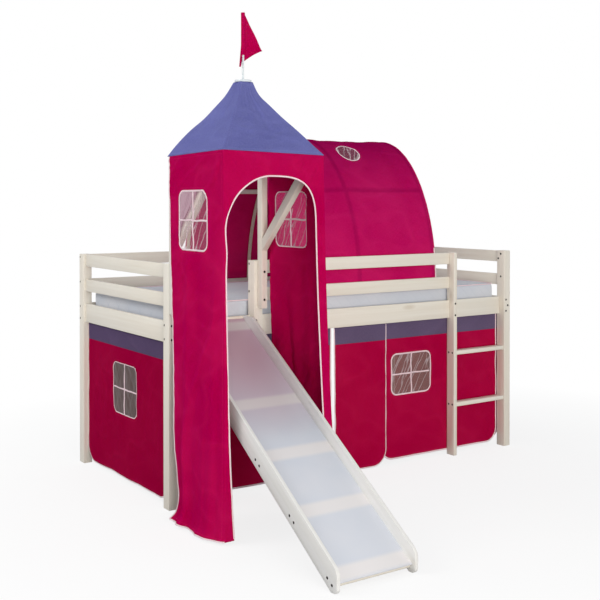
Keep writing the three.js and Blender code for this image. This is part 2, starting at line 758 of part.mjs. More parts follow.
// Front wall: a strip that goes up one side of the doorway, over its arch and down the other.
{
  const springShare = (archSpring - towerHem) / wallHeight;
  const left = leftCornerX;
  const right = rightCornerX;
  const doorLeftX = (share) => archLeftMargin + (archFootMargin - archLeftMargin)
    * fullness(Math.min(1, share / springShare), stripFlarePower);
  const doorRightX = (share) => towerAcross - archRightMargin
    + rightCornerFlare * fullness(Math.min(1, share / springShare));
  const legShares = evenShares(archLegSteps).map((share) => share * springShare);
  const middle = (doorLeftX(1) + doorRightX(1)) / 2;
  const halfDoor = (doorRightX(1) - doorLeftX(1)) / 2;
  const half = clothThick / 2;
  const leftEnd = left(1) - half;
  const rightEnd = right(1) + half;
  const leftTurn = Math.atan2(wallTop - archSpring, leftEnd - middle);
  const rightTurn = Math.atan2(wallTop - archSpring, rightEnd - middle);
  const turns = gridLines(-Math.PI, 0, Math.PI / archSteps, [-leftTurn, -rightTurn]).map((turn) => -turn);
  const strip = [];
  for (const share of legShares) {
    strip.push([[doorLeftX(share), heightOf(share)], [left(share) - half, heightOf(share)]]);
  }
  for (const turn of turns.slice(1, -1)) {
    const [c, s] = [Math.cos(turn), Math.sin(turn)];
    const round = c < 0 ? archLeftRound : archRightRound;
    const inner = [
      middle + halfDoor * Math.sign(c) * Math.pow(Math.abs(c), round),
      archSpring + archRise * Math.pow(s, round),
    ];
    const scale = Math.min(
      (c < 0 ? leftEnd - middle : rightEnd - middle) / c,
      (wallTop - archSpring) / s);
    const z = archSpring + s * scale;
    const share = (z - towerHem) / wallHeight;
    const sideX = c < 0 ? left(share) - half : right(share) + half;
    const onSide = z < wallTop - 1e-3;
    strip.push([inner, [onSide ? sideX : middle + c * scale, z]]);
  }
  for (const share of [...legShares].reverse()) {
    strip.push([[doorRightX(share), heightOf(share)], [right(share) + half, heightOf(share)]]);
  }
  const gridAt = (offset) => strip.map(([inner, outer]) => evenShares(2).map((across) => {
    const x = mix(inner[0], outer[0], across);
    const z = mix(inner[1], outer[1], across);
    return new THREE.Vector3(x, frontY((z - towerHem) / wallHeight) + offset * half, z);
  }));
  piece(tower, 'tower_front_wall', sheet(gridAt(-1), gridAt(1)), pinkCloth);
}

// Roof: loops that draw in to the disc, hollow between the eave and the top. Each row of the
// table has a height, and how far out the corners still are there: at the rear left, at the
// front right, and at the other two.
{
  const outX = towerAcross / 2 + seatGap + clothThick;
  const outFront = towerDeep / 2 + seatGap + clothThick;
  const perSide = 5;
  const cornerShares = [
    [0, 1, 1, 1], [0.12, 0.895, 0.86, 0.88], [0.24, 0.775, 0.73, 0.755], [0.36, 0.64, 0.595, 0.62],
    [0.5, 0.455, 0.43, 0.445], [0.66, 0.285, 0.26, 0.275], [0.82, 0.125, 0.095, 0.11], [1, 0, 0, 0],
  ];
  const corners = [[-1, -1, 3], [1, -1, 2], [1, 1, 3], [-1, 1, 1]];
  const topShift = mastPlace.x - towerMiddle.x;
  const loopAt = (row, fullX, fullY, topHalf, z) => {
    const reachOf = ([x, y, column]) => new THREE.Vector2(
      x * mix(topHalf, fullX, row[column]) + topShift * (1 - row[column]),
      y * mix(topHalf, fullY, row[column]));
    const sag = 4 * row[0] * (1 - row[0]) * roofFaceSag;
    const points = [];
    for (let side = 0; side < corners.length; side += 1) {
      const from = reachOf(corners[side]);
      const to = reachOf(corners[(side + 1) % corners.length]);
      for (let k = 0; k < perSide; k += 1) {
        const s = k / perSide;
        const place = from.clone().lerp(to, s);
        const hollow = sag * (1 - (2 * s - 1) * (2 * s - 1)) / Math.max(place.length(), sag);
        place.multiplyScalar(1 - hollow);
        points.push(new THREE.Vector3(towerMiddle.x + place.x, towerMiddle.y + place.y, z));
      }
    }
    return points;
  };
  const roofTop = discFoot - seatGap;
  const underTop = roofTop - clothThick;
  const hole = mastAcross / 2 + seatGap;
  const outer = cornerShares.map((row) => (
    loopAt(row, outX, outFront, roofTopHalf, mix(eave, roofTop, row[0]))));
  const inner = cornerShares.map((row) => (
    loopAt(row, outX - roofSlantThick, outFront - roofSlantThick, roofTopHalf - roofSlantThick,
      mix(eave, underTop, row[0])))).reverse();
  const topRow = cornerShares[cornerShares.length - 1];
  const holeTop = loopAt(topRow, hole, hole, hole, roofTop);
  const holeFoot = loopAt(topRow, hole, hole, hole, underTop);
  piece(tower, 'roof_cloth', ringSheet([...outer, holeTop, holeFoot, ...inner]), lilacCloth);
}

// Tunnel. Its section is half an ellipse, as a chain of flats, so that cloth, hoops and battens
// lie flat on one another; a depth is measured inward from the cloth's outer face.
{
  const middleY = (innerFront + innerBack) / 2;
  const halfSpan = middleY - innerFront;
  const flats = evenShares(hoopSteps).map((share) => {
    const turn = Math.PI * share;
    return new THREE.Vector2(middleY - halfSpan * Math.cos(turn), hoopFoot + hoopRise * Math.sin(turn));
  });
  const inwardOf = (i) => {
    const along = flats[i + 1].clone().sub(flats[i]).normalize();
    return new THREE.Vector2(along.y, -along.x);
  };
  const sectionAt = (depth) => flats.map((point, i) => {
    const before = inwardOf(Math.max(0, i - 1));
    const after = inwardOf(Math.min(hoopSteps - 1, i));
    const between = before.clone().add(after).normalize();
    const moved = point.clone().addScaledVector(between, depth / between.dot(after));
    if (i === 0 || i === hoopSteps) moved.y = hoopFoot;
    return moved;
  });
  const hoopPlaces = [
    ['left', leftHoopFront, leftHoopSkew],
    ['middle', middleHoopFront, middleHoopSkew],
    ['right', rightHoopFront, rightHoopSkew],
  ];
  const hoopX = ([, front, skew], i) => front - skew * (flats[i].x - innerFront) / (2 * halfSpan);
  const grid = (depth, xAt) => sectionAt(depth).map((point, i) => (
    xAt(i).map((x) => new THREE.Vector3(x, point.x, point.y))));

  const hoopDepth = clothThick + seatGap;
  for (const hoop of hoopPlaces) {
    const xAt = (i) => [hoopX(hoop, i) - hoopWide / 2, hoopX(hoop, i) + hoopWide / 2];
    piece(tunnel, `${hoop[0]}_hoop`, sheet(grid(hoopDepth, xAt), grid(hoopDepth + hoopThick, xAt)), wood);
  }

  const baySteps = evenShares(3).slice(1, -1);
  const clothX = (i) => {
    const [a, b, c] = hoopPlaces.map((hoop) => hoopX(hoop, i));
    const edge = hoopWide / 2 + tunnelOverhang;
    return [a - edge, ...baySteps.map((share) => mix(a, b, share)), b,
      ...baySteps.map((share) => mix(b, c, share)), c + edge];
  };
  const point = flats[skylightStep].clone().lerp(flats[skylightStep + 1], 1 / 2);
  const inward = inwardOf(skylightStep);
  const reach = skylightAcross / 4;
  const drum = new THREE.CylinderGeometry(skylightAcross / 2, skylightAcross / 2, 2 * reach, skylightSides);
  drum.rotateX(Math.PI / 2 - Math.atan2(-inward.x, -inward.y));
  drum.translate(skylightAlong, point.x, point.y);
  const wide = (i) => [clothX(i)[0], clothX(i).at(-1)];
  const skin = sheet(grid(-cutOverrun, wide), grid(skylightDeep, wide));
  const pane = geometryOf(solidOf(drum).intersect(solidOf(skin)));
  const cloth = sheet(grid(0, clothX), grid(clothThick, clothX));
  piece(tunnel, 'tunnel_cloth', cut(cloth, [pane]), pinkCloth);

  const battenDepth = hoopDepth + hoopThick + seatGap + tunnelBattenThick / 2;
  const last = hoopSteps - 1 - tunnelBattenStep;
  for (const [name, step] of [['front_tunnel_batten', tunnelBattenStep], ['rear_tunnel_batten', last]]) {
    const flat = flats[step + 1].clone().sub(flats[step]);
    const middle = flats[step].clone().lerp(flats[step + 1], 1 / 2)
      .addScaledVector(inwardOf(step), battenDepth)
      .addScaledVector(flat.clone().normalize(), tunnelBattenLift * Math.sign(flat.y));
    const x0 = hoopX(hoopPlaces[0], step) - hoopWide / 2;
    const x1 = hoopX(hoopPlaces[2], step) + hoopWide / 2;
    const batten = new THREE.BoxGeometry(x1 - x0, tunnelBattenWide, tunnelBattenThick);
    batten.rotateX(Math.atan2(flat.y, flat.x));
    batten.translate((x0 + x1) / 2, middle.x, middle.y);
    piece(tunnel, name, batten, wood);
  }
}

// Curtains. Each hangs from a round top edge, about which it swings. Its own directions are
// along its width, into its folds, and up; place turns them into the bed's directions.
function curtain(name, width, drop, hem, place, window) {
  const radius = clothThick / 2;
  const beadRowShares = [[0.95, 0.3], [0.6, 0.8], [0, 1]];
  const cornerStepShares = [0.15, 0.45, 1];
  const rim = paneRim;
  const keptAcross = cornerStepShares.map((share) => curtainCorner * share);
  const kept = [...keptAcross, ...keptAcross.map((line) => width - line)];
  const rowsKept = [];
  if (window) {
    kept.push(window.from, window.from + rim, window.to - rim, window.to);
    rowsKept.push(window.low - drop, window.low - drop + rim, window.high - drop - rim, window.high - drop);
  }
  const columns = gridLines(0, width, foldPitch / 2, kept);
  const rows = gridLines(hem - drop, 0, (drop - hem) / curtainRowCount, rowsKept).reverse().slice(1);
  const cornerLift = (u) => {
    const edge = Math.min(u, width - u);
    if (edge >= curtainCorner) return 0;
    const run = curtainCorner - edge;
    return curtainCorner - Math.sqrt(curtainCorner * curtainCorner - run * run);
  };
  const inside = (value, from, to) => value > from + 1e-3 && value < to - 1e-3;
  const levels = [
    ...beadRowShares.map(([up, full]) => ({ v: up * radius, half: full * radius })),
    ...rows.map((v) => ({ v, half: radius })),
  ];
  const gridAt = (side) => levels.map(({ v, half }, i) => columns.map((u) => {
    const fall = Math.max(0, -v) / (drop - hem);
    const lift = i === levels.length - 1 ? cornerLift(u) : 0;
    const z = Math.max(v + lift, v);
    const fold = curtainFold * fall * (1 - Math.cos(2 * Math.PI * u / foldPitch)) / 2;
    const pane = window && inside(u, window.from, window.to)
      && inside(v, window.low - drop, window.high - drop);
    const thin = half - (pane ? paneSink : 0);
    return place(u, fold + side * thin, drop + z);
  }));
  piece(curtains, name, sheet(gridAt(1), gridAt(-1)), pinkCloth);
}

{
  const radius = clothThick / 2;
  const lapped = wideRailFoot + curtainLap;
  const hung = wideRailFoot - seatGap - radius;
  const insideY = innerFront + radius;
  const frontStart = postAcross + curtainPostGap;
  const frontEnd = rightPostLeft - curtainPostGap;
  const rightStart = doorLeft + doorWidth - doorOverlap;
  const alongFront = (from, y) => (u, n, z) => new THREE.Vector3(from + u, y + n, z);
  curtain('front_left_curtain', doorLeft - frontGapWidth - frontStart, lapped, curtainHem,
    alongFront(frontStart, insideY));
  curtain('front_right_curtain', frontEnd - rightStart, lapped, curtainHem, alongFront(rightStart, insideY), {
    from: frontWindowLeft - rightStart,
    to: frontWindowLeft + curtainWindowWide - rightStart,
    low: curtainWindowFoot,
    high: curtainWindowFoot + curtainWindowTall,
  });
  const doorY = frontRailFace + railThick / 2;
  curtain('front_door_curtain', doorWidth, hung, doorHem, (u, n, z) => (
    new THREE.Vector3(doorLeft + u, doorY - n, z)));

  const endFrom = postDeep + curtainPostGap;
  const endWidth = backPostFace - curtainPostGap - endFrom;
  const endWindow = {
    from: endWindowSetBack - endFrom,
    to: endWindowSetBack + curtainWindowWide - endFrom,
    low: endWindowFoot,
    high: endWindowFoot + endWindowTall,
  };
  const leftX = railInset + railThick - radius;
  const rightX = rightEndRailLeft + radius;
  curtain('left_end_curtain', endWidth, hung, curtainHem, (u, n, z) => (
    new THREE.Vector3(leftX - n, endFrom + u, z)), endWindow);
  curtain('right_end_curtain', endWidth, hung, curtainHem, (u, n, z) => (
    new THREE.Vector3(rightX + n, endFrom + u, z)), endWindow);
}

// The origin is on the floor, under the middle of the whole.
const whole = new THREE.Group();
whole.add(bed);
const reachBox = new THREE.Box3().setFromObject(bed, true);
const middleOfAll = reachBox.getCenter(new THREE.Vector3());
bed.position.set(-middleOfAll.x, -middleOfAll.y, -reachBox.min.z);

export default whole;
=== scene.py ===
# %% [markdown]
# # A child's bed with a slide, a cloth tower and a cloth tunnel
# The CAD model already fixes every size and place. In this lesson its plain solids become
# boards with softened edges, sewn cloth with piped edges, clear windows and a stuffed mattress.
# The model is loaded first and never moved, so every new piece is made at its own place.

# %% Load the CAD frame
import math

import bmesh
import bpy
from mathutils import Matrix, Vector, noise


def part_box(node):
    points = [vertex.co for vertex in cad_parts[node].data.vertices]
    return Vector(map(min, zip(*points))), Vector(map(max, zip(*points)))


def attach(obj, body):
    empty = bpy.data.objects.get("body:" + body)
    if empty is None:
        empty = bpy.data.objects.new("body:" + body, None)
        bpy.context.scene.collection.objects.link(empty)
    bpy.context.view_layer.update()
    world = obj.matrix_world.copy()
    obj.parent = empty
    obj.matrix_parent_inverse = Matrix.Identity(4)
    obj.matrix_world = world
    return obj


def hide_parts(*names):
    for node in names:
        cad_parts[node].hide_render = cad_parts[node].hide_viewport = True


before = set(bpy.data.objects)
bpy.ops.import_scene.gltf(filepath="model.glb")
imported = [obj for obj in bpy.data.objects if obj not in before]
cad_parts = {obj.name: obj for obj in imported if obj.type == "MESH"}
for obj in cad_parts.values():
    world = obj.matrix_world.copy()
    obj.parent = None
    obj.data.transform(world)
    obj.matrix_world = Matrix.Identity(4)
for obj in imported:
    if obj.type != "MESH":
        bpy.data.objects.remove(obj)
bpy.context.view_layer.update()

bed_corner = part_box("front_left_post")[0]

# %% [markdown]
# ## Bed coordinates
# Lengths are easiest to read in millimetres from the bed's own front left corner: along the
# bed, back from its front, and up from the floor. One small function turns such a place into
# metres in the scene, and another reads a CAD node's box back the same way.

# %% Places on the bed
def at(along, back, up):
    return Vector((bed_corner.x + along / 1000, bed_corner.y + back / 1000, up / 1000))


def box_of(node):
    low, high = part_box(node)
    origin = at(0, 0, 0)
    return [(low - origin) * 1000, (high - origin) * 1000]


print("mattress box in bed millimetres:", box_of("mattress"))

# %% [markdown]
# ## The camera
# The photograph was taken from in front of the bed and to its left, a little above the tower's
# doorway. Its picture is cut from above the middle, which a small vertical shift repeats.

# %% Camera
tilt_down, turn_right = 0.01094, 0.59852
camera_data = bpy.data.cameras.new("camera")
camera_data.lens = 60.32
camera_data.sensor_width = 36
camera_data.shift_y = -0.149
camera_data.clip_end = 60
camera = bpy.data.objects.new("camera", camera_data)
camera.location = at(-1975.6, -3902.4, 1348.6)
camera.rotation_euler = (math.pi / 2 - tilt_down, 0, -turn_right)
bpy.context.scene.collection.objects.link(camera)
bpy.context.scene.camera = camera
bpy.context.scene.view_settings.view_transform = "Standard"
print("camera at", [round(value, 3) for value in camera.location])

# %% [markdown]
# ## Shader maths as plain Python
# A finish is a net of nodes. Writing each one out is long, so a value wraps one socket, and the
# usual operators on it add the Math or Vector Math node for us. One method makes any other node
# from its type, its settings and its sockets.

# %% A socket that can be added and multiplied
class Value:
    def __init__(self, finish, socket):
        self.finish = finish
        self.socket = socket

    def maths(self, operation, *values):
        vectors = any(isinstance(value, tuple) for value in values)
        kind = "ShaderNodeVectorMath" if vectors else "ShaderNodeMath"
        return self.finish.add(kind, {"operation": operation}, dict(enumerate(values)))

    def __add__(self, other):
        return self.maths("ADD", self, other)

    def __sub__(self, other):
        return self.maths("SUBTRACT", self, other)

    def __rsub__(self, other):
        return self.maths("SUBTRACT", other, self)

    def __mul__(self, other):
        return self.maths("MULTIPLY", self, other)

    def __pow__(self, other):
        return self.maths("POWER", self, other)

    def __lt__(self, other):
        return self.maths("LESS_THAN", self, other)

    def __gt__(self, other):
        return self.maths("GREATER_THAN", self, other)

    __radd__ = __add__
    __rmul__ = __mul__

    def sine(self):
        return self.maths("SINE", self)

    def size(self):
        return self.maths("ABSOLUTE", self)

    def between(self, low, high, first=0.0, last=1.0, kind="LINEAR"):
        """Reads from first to last while the value goes from low to high."""
        return self.finish.add("ShaderNodeMapRange", {"interpolation_type": kind}, {
            "Value": self, "From Min": low, "From Max": high, "To Min": first, "To Max": last})


print("a value wraps one socket of a node")

# %% A finish under construction
class Finish:
    def __init__(self, name):
        self.material = bpy.data.materials.new(name)
        self.material.use_nodes = True
        self.tree = self.material.node_tree
        self.tree.nodes.clear()

    def add(self, kind, settings=None, sockets=None, output=0):
        node = self.tree.nodes.new(kind)
        for key, value in (settings or {}).items():
            setattr(node, key, value)
        for key, value in (sockets or {}).items():
            if isinstance(value, Value):
                self.tree.links.new(value.socket, node.inputs[key])
            else:
                node.inputs[key].default_value = value
        return Value(self, node.outputs[output])

    def place(self):
        return self.add("ShaderNodeTexCoord", output="Object")

    def flat_cut(self):
        return self.add("ShaderNodeUVMap", {"uv_map": "flat"}, output="UV")

    def attribute(self, name, output="Vector"):
        return self.add("ShaderNodeAttribute", {"attribute_name": name}, output=output)

    def noise(self, vector, scale=1.0, detail=3.0, rough=0.5):
        sockets = {"Vector": vector, "Scale": scale, "Detail": detail, "Roughness": rough}
        return self.add("ShaderNodeTexNoise", {}, sockets)

    def mix(self, share, first, second):
        sockets = {0: share, 6: first, 7: second}
        return self.add("ShaderNodeMix", {"data_type": "RGBA"}, sockets, output=2)

    def blend(self, share, first, second):
        return self.add("ShaderNodeMixShader", {}, {0: share, 1: first, 2: second})

    def parts(self, vector):
        node = self.add("ShaderNodeSeparateXYZ", {}, {0: vector}).socket.node
        return [Value(self, socket) for socket in node.outputs]

    def close(self, colour, rough, height, depth, alpha=None, **settings):
        bump = self.add("ShaderNodeBump", {}, {"Height": height, "Distance": depth})
        sockets = {"Base Color": colour, "Roughness": rough, "Normal": bump}
        sockets.update({key.replace("_", " ").title(): value for key, value in settings.items()})
        sockets = {key.replace("Ior", "IOR"): value for key, value in sockets.items()}
        if alpha is not None:
            sockets["Alpha"] = alpha
        self.show(self.add("ShaderNodeBsdfPrincipled", {}, sockets))

    def show(self, surface, kind="ShaderNodeOutputMaterial"):
        output = self.tree.nodes.new(kind)
        self.tree.links.new(surface.socket, output.inputs["Surface"])


print("a finish can be built from", Finish.__name__)

# %% Paint colours
# Colours are read off the photograph as screen values, and shaders want them linear.
def paint(red, green, blue):
    linear = [(value / 255 / 12.92) if value < 10 else ((value / 255 + 0.055) / 1.055) ** 2.4
              for value in (red, green, blue)]
    return (*linear, 1.0)


print("a cream white is", [round(value, 3) for value in paint(232, 226, 214)])

# %% [markdown]
# ## Floor, backdrop and light
# The photograph has a plain white ground. The floor is white paper that still takes the bed's
# soft shadow, and the world is white for the camera and for reflections only. The light that
# falls on the bed comes from a soft pale sky and two large lamps at a plain level.

# %% Floor
def seen_directly(finish):
    path = finish.add("ShaderNodeLightPath").socket.node
    seen = [Value(finish, path.outputs[name]) for name in
            ("Is Camera Ray", "Is Glossy Ray", "Is Transmission Ray")]
    return (seen[0] + seen[1] + seen[2]) > 0.5


bpy.ops.object.select_all(action="DESELECT")
bpy.ops.mesh.primitive_plane_add(size=60, location=(0, 0, -0.0004))
floor = bpy.context.object
floor.name = "floor"
bpy.ops.object.transform_apply(location=True)
paper = Finish("floor_paper")
paper_place = paper.place()
paper_colour = paper.mix(paper.noise(paper_place, 3.0), paint(250, 250, 250), paint(255, 255, 255))
paper_lit = paper.add("ShaderNodeBsdfDiffuse", {}, {"Color": paper_colour})
paper_bright = paper.add("ShaderNodeEmission", {}, {"Color": (1, 1, 1, 1), "Strength": 1.0})
paper_grey = paper.add("ShaderNodeBsdfDiffuse", {}, {"Color": paint(176, 176, 176)})
paper_x, paper_y, _ = paper.parts(paper_place)
far_off = (paper_x * paper_x + paper_y * paper_y).between(1.5, 8.0)
paper_seen = paper.blend(far_off * 0.18 + 0.82, paper_lit, paper_bright)
paper.show(paper.blend(seen_directly(paper), paper_grey, paper_seen))
floor.data.materials.append(paper.material)
print("floor is 60 m of white paper")

# %% World
class Sky(Finish):
    def __init__(self, world):
        world.use_nodes = True
        self.tree = world.node_tree
        self.tree.nodes.clear()


world = bpy.data.worlds.new("studio")
bpy.context.scene.world = world
sky, sky_level = Sky(world), 0.52
soft_sky = sky.add("ShaderNodeBackground", {}, {
    "Color": (0.93, 0.96, 1.0, 1), "Strength": sky_level})
white_ground = sky.add("ShaderNodeBackground", {}, {"Color": (1, 1, 1, 1), "Strength": 1.0})
sky.show(sky.blend(seen_directly(sky), soft_sky, white_ground), "ShaderNodeOutputWorld")
print("the world lights at", sky_level, "and shows as white")

# %% Lamps
def lamp(name, place, target, size, power, colour):
    data = bpy.data.lights.new(name, "AREA")
    data.shape = "DISK"
    data.size = size
    data.energy = power
    data.color = colour
    made = bpy.data.objects.new(name, data)
    made.location = place
    made.rotation_euler = (target - place).to_track_quat("-Z", "Y").to_euler()
    bpy.context.scene.collection.objects.link(made)


middle = at(900, 200, 900)
lamp("front_lamp", at(-900, -5300, 1000), middle, 3.2, 197, (1.0, 0.965, 0.91))
lamp("left_lamp", at(-4300, 1300, 4200), middle, 3.0, 123, (1.0, 0.985, 0.97))
print("two lamps placed")

# %% [markdown]
# ## Painted pine
# Real pine is one solid block of rings, so the same grain shows on a board's faces and its
# ends. Each board gets an attribute with its own coordinates: along its length first, then
# across, and moved by an amount of its own so that no two boards look alike. The finish reads
# it: long streaks under thin white paint, soft cloudy patches and a few faint knots.

# %% Painted pine finish
def painted_wood(name, full, thin, cloudy, knot):
    pine = Finish(name)
    board_place = pine.attribute("grain")
    streaks = pine.noise(board_place * (1.6, 46.0, 46.0), detail=5.0, rough=0.62)
    fibres = pine.noise(board_place * (9.0, 420.0, 420.0), detail=2.0)
    clouds = pine.noise(board_place * (1.2, 5.0, 5.0))
    knot_cells = pine.add("ShaderNodeTexVoronoi", {}, {
        "Vector": board_place * (2.3, 7.5, 7.5), "Scale": 1.0})
    knots = (knot_cells + streaks * 0.08).between(0.085, 0.16, 1.0, 0.0)
    colour = pine.mix(streaks.between(0.38, 0.66), full, thin)
    colour = pine.mix(clouds.between(0.4, 0.75) * 0.5, colour, cloudy)
    colour = pine.mix(knots * 0.4, colour, knot)
    pine.close(colour, fibres * 0.14 + 0.42, streaks * 0.5 + fibres * 0.25 - knots * 0.25, 0.0006,
               coat_weight=0.08)
    return pine


pine = painted_wood("painted_pine", paint(238, 232, 219), paint(231, 223, 208),
                    paint(241, 236, 226), paint(196, 178, 152))
cheek_paint = painted_wood("slide_paint", paint(223, 222, 220), paint(215, 214, 210),
                           paint(228, 228, 228), paint(196, 188, 176))
top_paint = painted_wood("top_paint", paint(222, 229, 232), paint(214, 222, 226),
                         paint(226, 232, 235), paint(210, 216, 218))
print("painted pine:", len(pine.tree.nodes), "nodes")

# %% Bent wood of the hoops, and the webbing of the bed base
bent = Finish("bent_wood")
bent_place = bent.attribute("grain")
bent_lines = bent.noise(bent_place * (3.0, 260.0, 260.0), detail=4.0)
bent.close(bent.mix(bent_lines.between(0.35, 0.7), paint(226, 216, 196), paint(206, 190, 162)),
           bent_lines * 0.2 + 0.45, bent_lines, 0.0004)

webbing = Finish("webbing")
ribs_along, ribs_across, _ = webbing.parts(webbing.attribute("grain") * (2600.0, 2600.0, 2600.0))
ribs = ribs_along.sine() * ribs_across.sine()
webbing.close(webbing.mix(ribs.between(-1, 1), paint(205, 205, 200), paint(235, 235, 230)),
              0.85, ribs, 0.0006)
print("bent wood and webbing ready")

# %% Dark steel of the bolts
steel = Finish("dark_steel")
scuffs = steel.noise(steel.place(), 900.0, 3.0)
steel.close(steel.mix(scuffs, paint(30, 27, 27), paint(62, 56, 54)),
            scuffs * 0.25 + 0.3, scuffs, 0.0002, metallic=1.0)
print("dark steel ready")

# %% [markdown]
# ## Boards
# A board starts as a cube at its node's size and place. Every edge of planed timber is
# slightly rounded, so all edges are bevelled in edit mode. Shaped boards are cut by bisecting
# planes, and notches and bolt holes are taken out with a Boolean modifier that is applied.

# %% Editing one piece
def alone(piece):
    bpy.ops.object.select_all(action="DESELECT")
    piece.select_set(True)
    bpy.context.view_layer.objects.active = piece


def edit(piece, everything=True):
    alone(piece)
    bpy.ops.object.mode_set(mode="EDIT")
    bpy.ops.mesh.select_all(action="SELECT" if everything else "DESELECT")


def pick_edges(piece, wanted):
    """Opens a piece for editing with only the wanted edges selected."""
    edit(piece, everything=False)
    mesh = bmesh.from_edit_mesh(piece.data)
    for edge in mesh.edges:
        edge.select = wanted(edge)
    bmesh.update_edit_mesh(piece.data)


def done():
    bpy.ops.object.mode_set(mode="OBJECT")


def settle(piece):
    alone(piece)
    bpy.ops.object.transform_apply(location=True, rotation=True, scale=True)


print("a piece can be edited and settled")

# %% Boards and cuts
def timber(name, low, high):
    bpy.ops.object.select_all(action="DESELECT")
    low, high = at(*low), at(*high)
    bpy.ops.mesh.primitive_cube_add(size=1, location=(low + high) / 2, scale=high - low)
    piece = bpy.context.object
    piece.name = name
    settle(piece)
    return piece


def board_of(node):
    low, high = box_of(node)
    return timber(node + "_board", low, high), low, high


def soften(piece, edge=2.2, segments=2):
    edit(piece)
    bpy.ops.mesh.bevel(offset=edge / 1000, segments=segments, affect="EDGES", clamp_overlap=True)
    done()


def slice_off(piece, place, normal):
    """Cuts away what lies on the normal's side of a plane, and closes the cut."""
    edit(piece)
    bpy.ops.mesh.bisect(plane_co=at(*place), plane_no=normal, use_fill=True, clear_outer=True)
    done()


print("boards can be softened and cut")

# %% Modifiers, joins and finishes
def apply(piece, kind, **settings):
    alone(piece)
    modifier = piece.modifiers.new(kind.lower(), kind)
    for key, value in settings.items():
        setattr(modifier, key, value)
    bpy.ops.object.modifier_apply(modifier=modifier.name)


def take_out(piece, cutter):
    apply(piece, "BOOLEAN", operation="DIFFERENCE", solver="EXACT", object=cutter)
    bpy.data.objects.remove(cutter)


def join(name, parts):
    alone(parts[0])
    for part in parts:
        part.select_set(True)
    bpy.ops.object.join()
    parts[0].name = name
    return parts[0]


def dress(piece, finish, angle):
    """Gives the whole piece one finish, and smooth shading across its gentle edges."""
    piece.data.materials.clear()
    piece.data.materials.append(finish.material)
    alone(piece)
    bpy.ops.object.shade_smooth_by_angle(angle=math.radians(angle))


def hand_over(piece, body, slot, *nodes):
    """Says which body a piece rides on and the CAD nodes that it replaces; slot is not used."""
    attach(piece, body)
    if nodes:
        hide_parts(*nodes)


print("pieces can be joined, dressed and handed over")

# %% Giving a board its grain, its body and its finish
board_count = 0


def finish_board(piece, nodes, run=(1, 0, 0), finish=pine, slot="painted_pine"):
    global board_count
    board_count += 1
    run = Vector(run).normalized()
    side = run.cross(Vector((0, 0, 1)) if abs(run.z) < 0.9 else Vector((0, 1, 0))).normalized()
    over = run.cross(side)
    shift = Vector((1.7 * board_count, 0.31 * board_count % 1, 0.57 * board_count % 1))
    grain = piece.data.attributes.new("grain", "FLOAT_VECTOR", "POINT")
    for vertex, cell in zip(piece.data.vertices, grain.data):
        cell.vector = Vector((vertex.co.dot(run), vertex.co.dot(side), vertex.co.dot(over))) + shift
    dress(piece, finish, 40)
    hand_over(piece, "bed_frame", slot, *nodes)


def plain_board(name, run, edge=2.2):
    board = board_of(name)[0]
    soften(board, edge)
    finish_board(board, [name], run)


print("boards read their own grain")

# %% [markdown]
# ## Bolts
# Every joint of the frame shows a small round hole with a dark socket bolt in it. The holes of
# one face are taken out together, and one bolt head is modelled and copied into each. The head
# is a short cylinder with a socket inset and pushed into its face.

# %% Holes and bolt heads
bolt_heads = []
upright = Vector((0, 0, 1))


def round_bar(place, axis, across, length, sides=16):
    bpy.ops.object.select_all(action="DESELECT")
    bpy.ops.mesh.primitive_cylinder_add(vertices=sides, radius=across / 2000, depth=length / 1000)
    bar = bpy.context.object
    bar.rotation_euler = axis.to_track_quat("Z", "Y").to_euler()
    bar.location = at(*place)
    settle(bar)
    return bar


def bolt_model():
    head = round_bar((0, 0, 0), upright, 10.6, 4, 18)
    edit(head, everything=False)
    mesh = bmesh.from_edit_mesh(head.data)
    top = max(mesh.faces, key=lambda face: face.calc_center_median().z)
    top.select = True
    bmesh.update_edit_mesh(head.data)
    bpy.ops.mesh.inset(thickness=0.0022)
    bpy.ops.mesh.extrude_region_move(TRANSFORM_OT_translate={"value": (0, 0, -0.002)})
    done()
    return head


bolt = bolt_model()
bolt_centre, hole_across = at(0, 0, 0), 12.0


def drill(piece, spots, side, depth=6.0):
    """Round holes with bolts at bed places in one face; side is the way out of the wood."""
    out = Vector(side)
    cutters = [round_bar(spot, out, hole_across, 2 * depth) for spot in spots]
    take_out(piece, join("cutter", cutters))
    turn = out.to_track_quat("Z", "Y").to_matrix().to_4x4()
    for spot in spots:
        head = bolt.copy()
        head.data = bolt.data.copy()
        place = at(*spot) - out * (depth - 2.6) / 1000
        head.data.transform(Matrix.Translation(place) @ turn @ Matrix.Translation(-bolt_centre))
        bpy.context.scene.collection.objects.link(head)
        bolt_heads.append(head)


print("bolt head:", len(bolt.data.polygons), "faces")

# %% [markdown]
# ## Posts and rails
# Four corner posts carry everything. Wide rails hold the bed base, and two narrower guard
# rails run above them on each side. All are plain planed boards, so one loop makes them.

# %% Posts
rail_box = box_of("front_side_rail")
top_box = box_of("front_top_guard")
mid_box = box_of("front_mid_guard")
wide_middle = (rail_box[0].z + rail_box[1].z) / 2
wide_bolts = [wide_middle - 30.5, wide_middle + 30.5]
guard_bolts = [(box[0].z + box[1].z) / 2 + 16 for box in (top_box, mid_box)]

